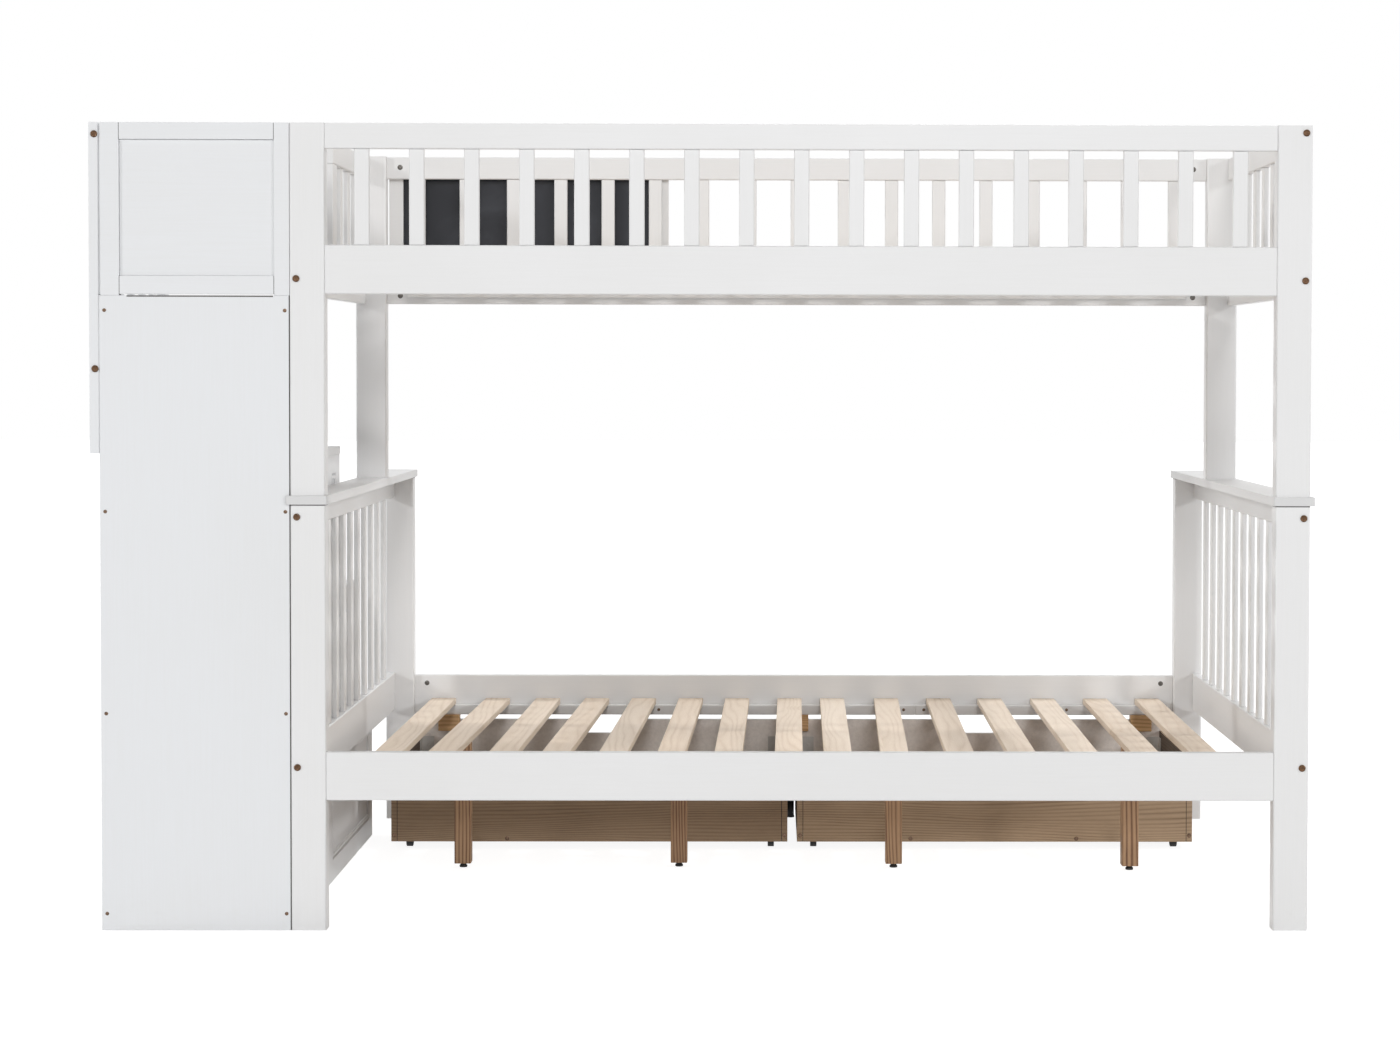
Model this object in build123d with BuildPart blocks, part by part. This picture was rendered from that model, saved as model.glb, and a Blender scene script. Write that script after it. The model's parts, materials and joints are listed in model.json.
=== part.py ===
from build123d import *

import os

# Storage-staircase bunk bed: a narrow bunk stands on the end frames of a wider one,
# two drawers roll under the lower bunk, and a stair unit with a drawer behind each riser
# stands at the left end. Left and right are as seen from the wall side (-Y).
# Sizes are in millimetres. Bed sizes are first given from the lower left wall-side corner
# of the bed (bed X, bed Y), and at() moves them to the part's own frame.

# Overall sizes
bed_length = 2195
lower_width = 1599
upper_width = 1048
upper_height = 1738

# Fits between pieces
glue_gap = 0.2
stair_gap = 0.3
ease = 2
post_round = 4

# Timber sections
post_wide = 75
post_deep = 45
rail_thick = 22
rail_inset = 3
end_inset = 2
side_rail_tall = 105
top_rail_tall = 55
spindle_wide = 33
spindle_thick = 12
spindle_count = 17
spindle_end_space = 62

# Heights of the lower bunk
cap_top = 939
cap_thick = 19
cap_out = 9
cap_in = 5
cap_nose = 8
cap_space = 3
lower_rail_bottom = 281
ledger_tall = 27
ledger_thick = 22
ledger_end_space = 53
ledger_joint_from_post = 697
slat_wide = 65
slat_thick = 16
slat_end_space = 3
lower_end_bottom_z = 294
lower_end_bottom_tall = 100
lower_end_top_tall = 54
lower_spindle_count = 11
lower_spindle_end_space = 135.5

# The slats are laid by hand, so each one sits a little off its even place
first_slat_from_post = 79
slat_shifts = (0, -2, -2, -8, -12, -17, -22, -19, -34, -34, -23, -15, -10, -2, 0)
propped_slats = (1, 5, 9, 13)
leg_shifts_y = (0, 12, -2, -34)
leg_side = 40
glide_radius = 10
glide_tall = 11
prop_radius = 9
prop_foot_radius = 10
prop_foot_tall = 5

# Heights of the upper bunk
upper_rail_bottom = 1372
upper_ledger_lift = 16
end_spindle_count = 7
end_spindle_end_space = 110
entry_wide = 425
entry_spindle_count = 3
entry_stile_wide = 60

# Writing board on the room side of the upper guard
slate_from_post = 3
slate_long = 698
slate_tall = 286
slate_from_top = 15
slate_frame_wide = 35
slate_frame_thick = 18
slate_thick = 5
slate_set_back = 6

# Drawers under the bed
bed_drawer_from_left = 2.5
bed_drawer_from_right = 20.5
bed_drawer_split = 24
bed_drawer_deep = 516
bed_drawer_bottom_z = 19
bed_drawer_below_stop = 2
bed_drawer_below_rail = 15
drawer_board = 15
drawer_front_thick = 20
drawer_floor_thick = 6
drawer_floor_lift = 27
scoop_top = 150
scoop_bottom = 84
scoop_deep = 37
scoop_round = 14
wheel_radius = 18
wheel_wide = 16
wheel_bore = 3.05
axle_radius = 3
housing_plate_thick = 3
housing_ear_thick = 2.5
housing_long = 44
housing_ear_gap = 1
housing_ear_below = 6
housing_ear_slope = 120
wheel_from_side = 42
wheel_from_end = 45
stop_long = 57
stop_thick = 32
stop_tall = 43
stop_from_left = 94.5
stop_from_prop = 18.5
stop_from_right = 88.5

# Stair unit
stair_wide = 408
stair_board = 20
stair_rise = 342
stair_run = 278
landing_deep = 456
step_count = 4
tread_thick = 19
tread_round = 6
tread_nose = 10
stair_back_thick = 12
plinth_tall = 45
stile_wide = 50
stair_rail_tall = 43
muntin_wide = 80
muntin_from_landing = 64
pocket_deep = 5
pocket_slope = 45
stair_drawer_behind = 22
stair_drawer_side_gap = 3
stair_box_headroom = 35.7
stair_front_gap = 3
stair_box_board = 12
runner_wide = 18
runner_tall = 20
runner_lift = 12
runner_play = 0.3
stair_front_set_back = 2
stair_scoop_top = 120
stair_scoop_bottom = 70

# Guards beside the landing
back_guard_clear = 3
back_guard_outer_gap = 4
back_guard_stile_left = 40
back_guard_stile_right = 33
back_guard_top_rail = 36
back_guard_bottom_rail = 39
back_guard_thick = 20
back_guard_panel_thick = 8
back_guard_lift = 3
outer_guard_thick = 21
outer_guard_over_step = 3
outer_guard_below_step = 170
outer_guard_below_landing = 158
outer_guard_spindles = 5

# Derived places in the bed's own measures
far_x = bed_length - post_wide
lower_rail_top = lower_rail_bottom + side_rail_tall
upper_rail_top = upper_rail_bottom + side_rail_tall
cap_bottom = cap_top - cap_thick
top_rail_bottom = upper_height - top_rail_tall
ledger_top = lower_rail_bottom + ledger_tall
upper_ledger_top = upper_rail_bottom + upper_ledger_lift + ledger_tall
slate_bottom = upper_height - slate_from_top - slate_tall
slat_step = (bed_length - 2 * post_wide - 2 * first_slat_from_post) / (len(slat_shifts) - 1)
stair_x0 = -stair_gap - stair_wide
stair_x1 = -stair_gap
landing_top = step_count * stair_rise
muntin_from = landing_deep + muntin_from_landing
muntin_to = muntin_from + muntin_wide
step_fronts = [landing_deep + stair_run * (step_count - n) for n in range(1, step_count + 1)]
riser_ys = [front - tread_nose for front in step_fronts]

# Drawers fill the space that their surroundings leave
front_y = lower_width - rail_inset
front_back_y = front_y - drawer_front_thick
bed_drawer_room = bed_length - 2 * post_wide - bed_drawer_from_left - bed_drawer_from_right
bed_drawer_long = (bed_drawer_room - bed_drawer_split) / 2
bed_drawer_first_x = post_wide + bed_drawer_from_left
bed_drawer_back_y = front_back_y - bed_drawer_deep
bed_drawer_front_tall = lower_rail_bottom - bed_drawer_below_rail - bed_drawer_bottom_z
bed_drawer_side_tall = lower_rail_bottom - stop_tall - bed_drawer_below_stop - bed_drawer_bottom_z
stair_front_behind = tread_nose + stair_front_set_back + drawer_front_thick
stair_drawer_deep = landing_deep - stair_front_behind - stair_back_thick - stair_drawer_behind
stair_box_lift = runner_lift + runner_tall + runner_play
stair_box_tall = stair_rise - tread_thick - plinth_tall - stair_box_lift - stair_box_headroom

# The part's origin is the middle of its base
outer_x = stair_x0 - outer_guard_thick
origin_x = (outer_x + bed_length + cap_out) / 2
origin_y = lower_width / 2


def at(x, y, z=0):
    """A place in the bed's measures, as a vector in the part's frame."""
    return Vector(x - origin_x, y - origin_y, z)


def across_x(x, y=0, z=0):
    """Plane facing +X: its own x runs along Y and its own y along Z."""
    return Plane(origin=at(x, y, z), x_dir=(0, 1, 0), z_dir=(1, 0, 0))


def across_y(y, x=0, z=0):
    """Plane facing -Y: its own x runs along X and its own y along Z."""
    return Plane(origin=at(x, y, z), x_dir=(1, 0, 0), z_dir=(0, -1, 0))


def across_z(z, x=0, y=0):
    """Plane facing +Z at a height."""
    return Plane(origin=at(x, y, z), x_dir=(1, 0, 0), z_dir=(0, 0, 1))


def planed(wide, tall):
    """Section of a planed board: a rectangle with a small flat on each corner."""
    x = wide / 2
    y = tall / 2
    cut = ease
    right = [(x - cut, y), (x, y - cut), (x, cut - y), (x - cut, -y)]
    left = [(cut - x, -y), (-x, cut - y), (-x, y - cut), (cut - x, y)]
    return Polygon(*right, *left)


def save(part, name):
    """Label a finished piece and write its file."""
    part.label = name
    export_step(part, f"parts/{name}.step")


os.makedirs("parts", exist_ok=True)


# Posts. Each stands on the floor or on a cap.
for side, x in (("left", post_wide / 2), ("right", bed_length - post_wide / 2)):
    for bunk, width, z0, z1 in (
        ("lower", lower_width, 0, cap_bottom),
        ("upper", upper_width, cap_top, upper_height),
    ):
        for row, y in (("wall", post_deep / 2), ("room", width - post_deep / 2)):
            with BuildPart() as post:
                with BuildSketch(across_z(z0, x, y)):
                    RectangleRounded(post_wide, post_deep, post_round)
                extrude(amount=z1 - z0)
            save(post.part, f"{bunk}_post_{row}_{side}")


# End frames. Rails run between the posts, and the spindles stand between the rails.
def rail_along_y(x, y0, y1, z0, z1):
    with BuildSketch(across_y(y1, x + rail_thick / 2, (z0 + z1) / 2)) as section:
        planed(rail_thick, z1 - z0)
    extrude(section.sketch, amount=y1 - y0)


def spread(first, last, wide, end_space, count):
    """Middles of a row of spindles that leaves a space at each end."""
    start = first + end_space + wide / 2
    step = (last - first - 2 * end_space - wide) / (count - 1)
    return [start + n * step for n in range(count)]


def spindles_along_y(x, ys, z0, z1):
    with BuildSketch(across_z(z0 + glue_gap, x + rail_thick / 2)) as sections:
        with Locations(*[(0, y) for y in ys]):
            planed(spindle_thick, spindle_wide)
    extrude(sections.sketch, amount=z1 - z0 - 2 * glue_gap)


lower_y1 = lower_width - post_deep
upper_y1 = upper_width - post_deep
lower_ys = spread(post_deep, lower_y1, spindle_wide, lower_spindle_end_space, lower_spindle_count)
upper_ys = spread(post_deep, upper_y1, spindle_wide, end_spindle_end_space, end_spindle_count)
frame_xs = {"left": end_inset, "right": bed_length - end_inset - rail_thick}

for side, x in frame_xs.items():
    with BuildPart() as lower_end:
        bottom_top = lower_end_bottom_z + lower_end_bottom_tall
        rail_along_y(x, post_deep, lower_y1, cap_bottom - lower_end_top_tall, cap_bottom)
        rail_along_y(x, post_deep, lower_y1, lower_end_bottom_z, bottom_top)
        spindles_along_y(x, lower_ys, bottom_top, cap_bottom - lower_end_top_tall)
    save(lower_end.part, f"lower_end_frame_{side}")

with BuildPart() as upper_end:
    rail_along_y(frame_xs["right"], post_deep, upper_y1, top_rail_bottom, upper_height)
    rail_along_y(frame_xs["right"], post_deep, upper_y1, upper_rail_bottom, upper_rail_top)
    spindles_along_y(frame_xs["right"], upper_ys, upper_rail_top, top_rail_bottom)
save(upper_end.part, "upper_end_frame_right")

# The stair end of the upper bunk is open beside the wall, where a child steps in.
with BuildPart() as entry_rail:
    rail_along_y(frame_xs["left"], post_deep, upper_y1, upper_rail_bottom, upper_rail_top)
save(entry_rail.part, "entry_bottom_rail")

entry_y = post_deep + entry_wide
with BuildPart() as entry_guard:
    rail_along_y(frame_xs["left"], entry_y, upper_y1, top_rail_bottom, upper_height)
    spindles_along_y(frame_xs["left"], upper_ys[-entry_spindle_count:], upper_rail_top, top_rail_bottom)
    stile_y = entry_y + entry_stile_wide / 2
    with BuildSketch(across_z(upper_rail_top + glue_gap, frame_xs["left"] + rail_thick / 2, stile_y)):
        planed(rail_thick, entry_stile_wide)
    extrude(amount=top_rail_bottom - upper_rail_top - 2 * glue_gap)
save(entry_guard.part, "entry_guard")


# Caps join the two bunks. The left one is cut back where the stair unit stands.
stair_deep = step_fronts[0]
for side in ("left", "right"):
    outer = -cap_out if side == "left" else bed_length + cap_out
    inner = post_wide + cap_in if side == "left" else far_x - cap_in
    with BuildPart() as cap:
        with BuildSketch(across_z(cap_bottom, (outer + inner) / 2, lower_width / 2)):
            RectangleRounded(abs(outer - inner), lower_width + 2 * cap_nose, post_round)
            if side == "left":
                with Locations(((outer - inner) / 2 + cap_out / 2, (stair_deep - lower_width) / 2)):
                    Rectangle(cap_out, stair_deep + 2 * cap_space, mode=Mode.SUBTRACT)
        extrude(amount=cap_thick)
        chamfer(cap.edges().group_by(Axis.Z)[-1], ease / 2)
    save(cap.part, f"post_cap_{side}")


# Side rails with the ledgers that carry the slats
def side_rail(name, wall, width, z0, ledger_z, ledger_splits):
    y = rail_inset if wall else width - rail_inset - rail_thick
    inner_y = y + rail_thick if wall else y
    inward = 1 if wall else -1
    ledger_y = inner_y + inward * (glue_gap + ledger_thick / 2)
    with BuildPart() as piece:
        with BuildSketch(across_x(post_wide, y + rail_thick / 2, z0 + side_rail_tall / 2)):
            planed(rail_thick, side_rail_tall)
        extrude(amount=far_x - post_wide)
        for x0, x1 in ledger_splits:
            with BuildSketch(across_x(x0, ledger_y, ledger_z + ledger_tall / 2)):
                planed(ledger_thick, ledger_tall)
            extrude(amount=x1 - x0 - glue_gap)
    save(piece.part, name)


ledger_x0 = post_wide + ledger_end_space
ledger_x1 = far_x - ledger_end_space
whole = [(ledger_x0, ledger_x1)]
ledger_joint_x = far_x - ledger_joint_from_post
split = [(ledger_x0, ledger_joint_x), (ledger_joint_x, ledger_x1)]
upper_ledger_z = upper_rail_bottom + upper_ledger_lift
side_rail("lower_side_rail_wall", True, lower_width, lower_rail_bottom, lower_rail_bottom, whole)
side_rail("lower_side_rail_room", False, lower_width, lower_rail_bottom, lower_rail_bottom, split)
side_rail("upper_side_rail_wall", True, upper_width, upper_rail_bottom, upper_ledger_z, whole)
side_rail("upper_side_rail_room", False, upper_width, upper_rail_bottom, upper_ledger_z, whole)


# Guards: a top rail and a row of spindles down to the side rail
spindle_xs = spread(post_wide, far_x, spindle_wide, spindle_end_space, spindle_count)
guard_ys = {"wall": rail_inset, "room": upper_width - rail_inset - rail_thick}
for row, y in guard_ys.items():
    with BuildPart() as guard_rail:
        with BuildSketch(across_x(post_wide, y + rail_thick / 2, upper_height - top_rail_tall / 2)):
            planed(rail_thick, top_rail_tall)
        extrude(amount=far_x - post_wide)
    save(guard_rail.part, f"guard_top_rail_{row}")
    with BuildPart() as guard_spindles:
        with BuildSketch(across_z(upper_rail_top + glue_gap, 0, y + rail_thick / 2)):
            with Locations(*[(x, 0) for x in spindle_xs]):
                planed(spindle_wide, spindle_thick)
        extrude(amount=top_rail_bottom - upper_rail_top - 2 * glue_gap)
    save(guard_spindles.part, f"guard_spindles_{row}")


# Slats of both bunks lie loose on the ledgers
even_xs = [post_wide + first_slat_from_post + n * slat_step for n in range(len(slat_shifts))]
lower_slat_xs = [x + shift for x, shift in zip(even_xs, slat_shifts)]
slat_side_space = rail_inset + rail_thick + slat_end_space
for name, xs, width, z in (
    ("lower_slats", lower_slat_xs, lower_width, ledger_top),
    ("upper_slats", even_xs, upper_width, upper_ledger_top),
):
    with BuildPart() as slats:
        with BuildSketch(across_y(width - slat_side_space, 0, z + slat_thick / 2)):
            with Locations(*[(x, 0) for x in xs]):
                planed(slat_wide, slat_thick)
        extrude(amount=width - 2 * slat_side_space)
    save(slats.part, name)


# Square legs prop four of the lower slats at mid width, each on a screw-in glide
leg_places = [(lower_slat_xs[n], lower_width / 2 + dy) for n, dy in zip(propped_slats, leg_shifts_y)]
with BuildPart() as slat_legs:
    with BuildSketch(across_z(glide_tall)):
        with Locations(*leg_places):
            planed(leg_side, leg_side)
    extrude(amount=ledger_top - glide_tall)
save(slat_legs.part, "slat_legs")

with BuildPart() as leg_glides:
    with BuildSketch(across_z(0)):
        with Locations(*leg_places):
            Circle(glide_radius)
    extrude(amount=glide_tall)
save(leg_glides.part, "leg_glides")

# A steel tube stands under the middle of the room-side rail, between the drawers
prop_x = bed_drawer_first_x + bed_drawer_long + bed_drawer_split / 2
prop_y = lower_width - rail_inset - rail_thick / 2
with BuildPart() as rail_prop:
    with BuildSketch(across_z(0, prop_x, prop_y)):
        Circle(prop_foot_radius)
    extrude(amount=prop_foot_tall)
    with BuildSketch(across_z(prop_foot_tall, prop_x, prop_y)):
        Circle(prop_radius)
    extrude(amount=lower_rail_bottom - prop_foot_tall)
save(rail_prop.part, "rail_prop")

# Blocks under the room-side ledger stop the drawer fronts flush with the rail
stop_xs = (post_wide + stop_from_left, prop_x + stop_from_prop, far_x - stop_from_right)
with BuildPart() as drawer_stops:
    with BuildSketch(across_z(lower_rail_bottom - stop_tall, 0, front_back_y - glue_gap - stop_thick / 2)):
        with Locations(*[(x, 0) for x in stop_xs]):
            planed(stop_long, stop_thick)
    extrude(amount=stop_tall)
save(drawer_stops.part, "drawer_stops")


# Writing board: a white frame holding a slate panel, on the room side of the guard
slate_x0 = post_wide + slate_from_post
slate_y0 = upper_width - rail_inset
slate_mid = (slate_x0 + slate_long / 2, slate_bottom + slate_tall / 2)
with BuildPart() as slate_frame:
    with BuildSketch(across_y(slate_y0 + slate_frame_thick, *slate_mid)):
        planed(slate_long, slate_tall)
        Rectangle(slate_long - 2 * slate_frame_wide, slate_tall - 2 * slate_frame_wide, mode=Mode.SUBTRACT)
    extrude(amount=slate_frame_thick)
save(slate_frame.part, "slate_frame")

with BuildPart() as slate_board:
    with BuildSketch(across_y(slate_y0 + slate_set_back + slate_thick, *slate_mid)):
        inset = slate_frame_wide + glue_gap
        Rectangle(slate_long - 2 * inset, slate_tall - 2 * inset)
    extrude(amount=slate_thick)
save(slate_board.part, "slate_board")


# Stair unit
def side_outline():
    """Stepped outline of a stair side, from the back panel to the lowest riser."""
    points = [(stair_back_thick, 0), (riser_ys[0], 0)]
    for n, riser in enumerate(riser_ys):
        top = (n + 1) * stair_rise - tread_thick
        points.append((riser, top))
        if n + 1 < step_count:
            points.append((riser_ys[n + 1], top))
    points.append((stair_back_thick, landing_top - tread_thick))
    return points


def side_pockets():
    """Recessed panels of a stair side: from and to along Y, bottom and top."""
    pockets = []
    for n, riser in enumerate(riser_ys):
        base = n * stair_rise + (stile_wide if n == 0 else stair_rail_tall)
        top = (n + 1) * stair_rise - tread_thick - stair_rail_tall
        y0 = stair_back_thick + stile_wide
        y1 = riser - stile_wide
        if y1 > muntin_to + stile_wide:
            pockets.append((y0, muntin_from, base, top))
            y0 = muntin_to
        pockets.append((y0, y1, base, top))
    return pockets


for name, x0, outward in (("stair_side_outer", stair_x0, -1), ("stair_side_inner", stair_x1 - stair_board, 1)):
    face_x = x0 if outward < 0 else x0 + stair_board
    with BuildPart() as stair_side:
        with BuildSketch(across_x(x0)):
            with BuildLine():
                Polyline(*side_outline(), close=True)
            make_face()
        extrude(amount=stair_board)
        for y0, y1, z0, z1 in side_pockets():
            with BuildSketch(across_x(face_x, (y0 + y1) / 2, (z0 + z1) / 2)):
                Rectangle(y1 - y0, z1 - z0)
            extrude(amount=-outward * pocket_deep, taper=pocket_slope, mode=Mode.SUBTRACT)
    save(stair_side.part, name)

stair_mid_x = (stair_x0 + stair_x1) / 2
with BuildPart() as stair_back_panel:
    with BuildSketch(across_z(0, stair_mid_x, stair_back_thick / 2)):
        planed(stair_wide, stair_back_thick)
    extrude(amount=landing_top)
save(stair_back_panel.part, "stair_back_panel")

# Each tread rests on both sides, its back edge against the riser above
with BuildPart() as stair_treads:
    for n, front in enumerate(step_fronts):
        back = riser_ys[n + 1] + glue_gap if n + 1 < step_count else stair_back_thick
        top = (n + 1) * stair_rise
        with BuildSketch(across_x(stair_x0, (back + front) / 2, top - tread_thick / 2)) as profile:
            Rectangle(front - back, tread_thick)
            fillet(profile.vertices().group_by(Axis.Y)[-1], tread_round)
        extrude(amount=stair_wide)
save(stair_treads.part, "stair_treads")

inner_wide = stair_wide - 2 * stair_board
with BuildPart() as stair_plinth:
    with BuildSketch(across_z(0, stair_mid_x, riser_ys[0] - stair_front_set_back - stair_board / 2)):
        Rectangle(inner_wide, stair_board)
    extrude(amount=plinth_tall)
save(stair_plinth.part, "stair_plinth")

# Hardwood runners on the sides carry the stair drawers
with BuildPart() as stair_runners:
    for n, front in enumerate(step_fronts):
        base = n * stair_rise + (plinth_tall if n == 0 else 0)
        y1 = front - stair_front_behind - glue_gap
        y0 = y1 - stair_drawer_deep
        with BuildSketch(across_z(base + runner_lift, stair_mid_x, (y0 + y1) / 2)):
            with GridLocations(inner_wide - runner_wide, 0, 2, 1):
                Rectangle(runner_wide, y1 - y0)
        extrude(amount=runner_tall)
save(stair_runners.part, "stair_runners")


def scooped_front(name, x_mid, y_face, z0, wide, tall, top, bottom):
    """Drawer front with a hand scoop cut in its top edge and an eased face."""
    with BuildPart() as front:
        with BuildSketch(across_y(y_face, x_mid, z0)) as face:
            with BuildLine():
                Polyline(
                    (-wide / 2, 0),
                    (-wide / 2, tall),
                    (-top / 2, tall),
                    (-bottom / 2, tall - scoop_deep),
                    (bottom / 2, tall - scoop_deep),
                    (top / 2, tall),
                    (wide / 2, tall),
                    (wide / 2, 0),
                    close=True,
                )
            make_face()
            scoop_corners = face.vertices().filter_by(lambda v: abs(v.X) < wide / 2 - 1)
            fillet(scoop_corners, scoop_round)
        extrude(amount=drawer_front_thick)
        chamfer(front.faces().sort_by(Axis.Y)[-1].edges(), ease)
    save(front.part, name)


def drawer_box(name, x_mid, y0, y1, z0, wide, tall, board, floor_lift):
    """Two sides, a back between them and a floor, open at the top and at the front."""
    with BuildPart() as box:
        with BuildSketch(across_z(z0, x_mid, (y0 + y1 - glue_gap) / 2)):
            with GridLocations(wide - board, 0, 2, 1):
                Rectangle(board, y1 - y0 - glue_gap)
        extrude(amount=tall)
        with BuildSketch(across_z(z0, x_mid, y0 + board / 2)):
            Rectangle(wide - 2 * board - 2 * glue_gap, board)
        extrude(amount=tall)
        floor_y0 = y0 + board + glue_gap
        with BuildSketch(across_z(z0 + floor_lift, x_mid, (floor_y0 + y1 - glue_gap) / 2)):
            Rectangle(wide - 2 * board - 2 * glue_gap, y1 - glue_gap - floor_y0)
        extrude(amount=drawer_floor_thick)
    save(box.part, name)


for n, riser in enumerate(riser_ys):
    base = n * stair_rise + (plinth_tall if n == 0 else 0)
    y_face = riser - stair_front_set_back
    front_tall = (n + 1) * stair_rise - tread_thick - base - 2 * stair_front_gap
    front_wide = inner_wide - 2 * stair_front_gap
    front_z = base + stair_front_gap
    scooped_front(
        f"stair_drawer_front_{n + 1}", stair_mid_x, y_face, front_z, front_wide, front_tall,
        stair_scoop_top, stair_scoop_bottom,
    )
    box_y1 = y_face - drawer_front_thick
    box_z = base + stair_box_lift
    drawer_box(
        f"stair_drawer_box_{n + 1}", stair_mid_x, box_y1 - stair_drawer_deep, box_y1, box_z,
        inner_wide - 2 * stair_drawer_side_gap, stair_box_tall, stair_box_board, stair_box_board,
    )


# Drawers under the bed
bed_drawer_mids = {
    "left": bed_drawer_first_x + bed_drawer_long / 2,
    "right": bed_drawer_first_x + bed_drawer_long * 1.5 + bed_drawer_split,
}
floor_z = bed_drawer_bottom_z + drawer_floor_lift
wheel_ys = {"rear": bed_drawer_back_y + wheel_from_end, "front": front_back_y - wheel_from_end}
wheel_spread = bed_drawer_long - 2 * wheel_from_side
ear_gap = wheel_wide + 2 * housing_ear_gap
plate_wide = ear_gap + 2 * housing_ear_thick
ear_top = floor_z - housing_plate_thick
ear_low = wheel_radius - housing_ear_below
for side, x_mid in bed_drawer_mids.items():
    scooped_front(
        f"bed_drawer_front_{side}", x_mid, front_y, bed_drawer_bottom_z, bed_drawer_long,
        bed_drawer_front_tall, scoop_top, scoop_bottom,
    )
    drawer_box(
        f"bed_drawer_box_{side}", x_mid, bed_drawer_back_y, front_back_y, bed_drawer_bottom_z,
        bed_drawer_long, bed_drawer_side_tall, drawer_board, drawer_floor_lift,
    )
    with BuildPart() as housings:
        for y in wheel_ys.values():
            for dx in (-wheel_spread / 2, wheel_spread / 2):
                x = x_mid + dx
                with BuildSketch(across_z(floor_z - housing_plate_thick, x, y)):
                    planed(plate_wide, housing_long)
                extrude(amount=housing_plate_thick)
                for ear_x in (x - plate_wide / 2, x + ear_gap / 2):
                    with BuildSketch(across_x(ear_x, y, (ear_low + ear_top) / 2)):
                        Trapezoid(housing_long - 2 * ease, ear_top - ear_low, housing_ear_slope)
                    extrude(amount=housing_ear_thick)
                with BuildSketch(across_x(x - ear_gap / 2, y, wheel_radius)):
                    Circle(axle_radius)
                extrude(amount=ear_gap)
    save(housings.part, f"wheel_housings_{side}")
    for end, y in wheel_ys.items():
        with BuildPart() as wheels:
            for dx in (-wheel_spread / 2, wheel_spread / 2):
                with BuildSketch(across_x(x_mid + dx - wheel_wide / 2, y, wheel_radius)):
                    Circle(wheel_radius)
                    Circle(wheel_bore, mode=Mode.SUBTRACT)
                extrude(amount=wheel_wide)
        save(wheels.part, f"{end}_wheels_{side}")


# Back guard above the landing: a frame with a sunk panel, standing on the back panel
guard_x0 = stair_x0 + back_guard_outer_gap
guard_x1 = stair_x1
guard_tall = upper_height - landing_top
with BuildPart() as back_guard:
    stiles = ((guard_x0, back_guard_stile_left), (guard_x1 - back_guard_stile_right, back_guard_stile_right))
    for x, wide in stiles:
        with BuildSketch(across_z(landing_top, x + wide / 2, back_guard_thick / 2)):
            Rectangle(wide, back_guard_thick)
        extrude(amount=guard_tall)
    rail_x0 = guard_x0 + back_guard_stile_left + glue_gap
    rail_x1 = guard_x1 - back_guard_stile_right - glue_gap
    rail_mid = (rail_x0 + rail_x1) / 2
    rails = (
        (upper_height - back_guard_top_rail, upper_height),
        (landing_top + back_guard_lift, landing_top + back_guard_lift + back_guard_bottom_rail),
    )
    for z0, z1 in rails:
        with BuildSketch(across_x(rail_x0, back_guard_thick / 2, (z0 + z1) / 2)):
            Rectangle(back_guard_thick, z1 - z0)
        extrude(amount=rail_x1 - rail_x0)
    panel_z0 = rails[1][1] + glue_gap
    panel_z1 = rails[0][0] - glue_gap
    with BuildSketch(across_z(panel_z0, rail_mid, back_guard_thick / 2)):
        Rectangle(rail_x1 - rail_x0, back_guard_panel_thick)
    extrude(amount=panel_z1 - panel_z0)
save(back_guard.part, "back_guard")

# Outer guard beside the landing and the third step, fixed to the outer stair side
outer_y1 = step_fronts[2]
rail_y0 = post_deep + glue_gap
rail_y1 = outer_y1 - post_deep - glue_gap
outer_mid_x = outer_x + outer_guard_thick / 2
wall_foot_z = (step_count - 1) * stair_rise + outer_guard_over_step
room_foot_z = (step_count - 1) * stair_rise - outer_guard_below_step
outer_rail_z = landing_top - outer_guard_below_landing
with BuildPart() as outer_guard:
    for y, z0 in ((post_deep / 2, wall_foot_z), (outer_y1 - post_deep / 2, room_foot_z)):
        with BuildSketch(across_z(z0, outer_mid_x, y)):
            planed(outer_guard_thick, post_deep)
        extrude(amount=upper_height - z0)
    for z in (upper_height - top_rail_tall / 2, outer_rail_z):
        with BuildSketch(across_y(rail_y1, outer_mid_x, z)):
            planed(outer_guard_thick, top_rail_tall)
        extrude(amount=rail_y1 - rail_y0)
    z0 = outer_rail_z + top_rail_tall / 2 + glue_gap
    z1 = upper_height - top_rail_tall - glue_gap
    pitch = (rail_y1 - rail_y0 + spindle_wide) / (outer_guard_spindles + 1)
    with BuildSketch(across_z(z0, outer_mid_x, (rail_y0 + rail_y1) / 2)):
        with GridLocations(0, pitch, 1, outer_guard_spindles):
            planed(spindle_thick, spindle_wide)
    extrude(amount=z1 - z0)
save(outer_guard.part, "outer_guard")
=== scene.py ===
"""Staircase bunk bed: paint, timber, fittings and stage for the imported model."""
import json
import math

import bpy
from bpy.props import FloatProperty, FloatVectorProperty, PointerProperty
from mathutils import Euler, Matrix, Vector

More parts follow.
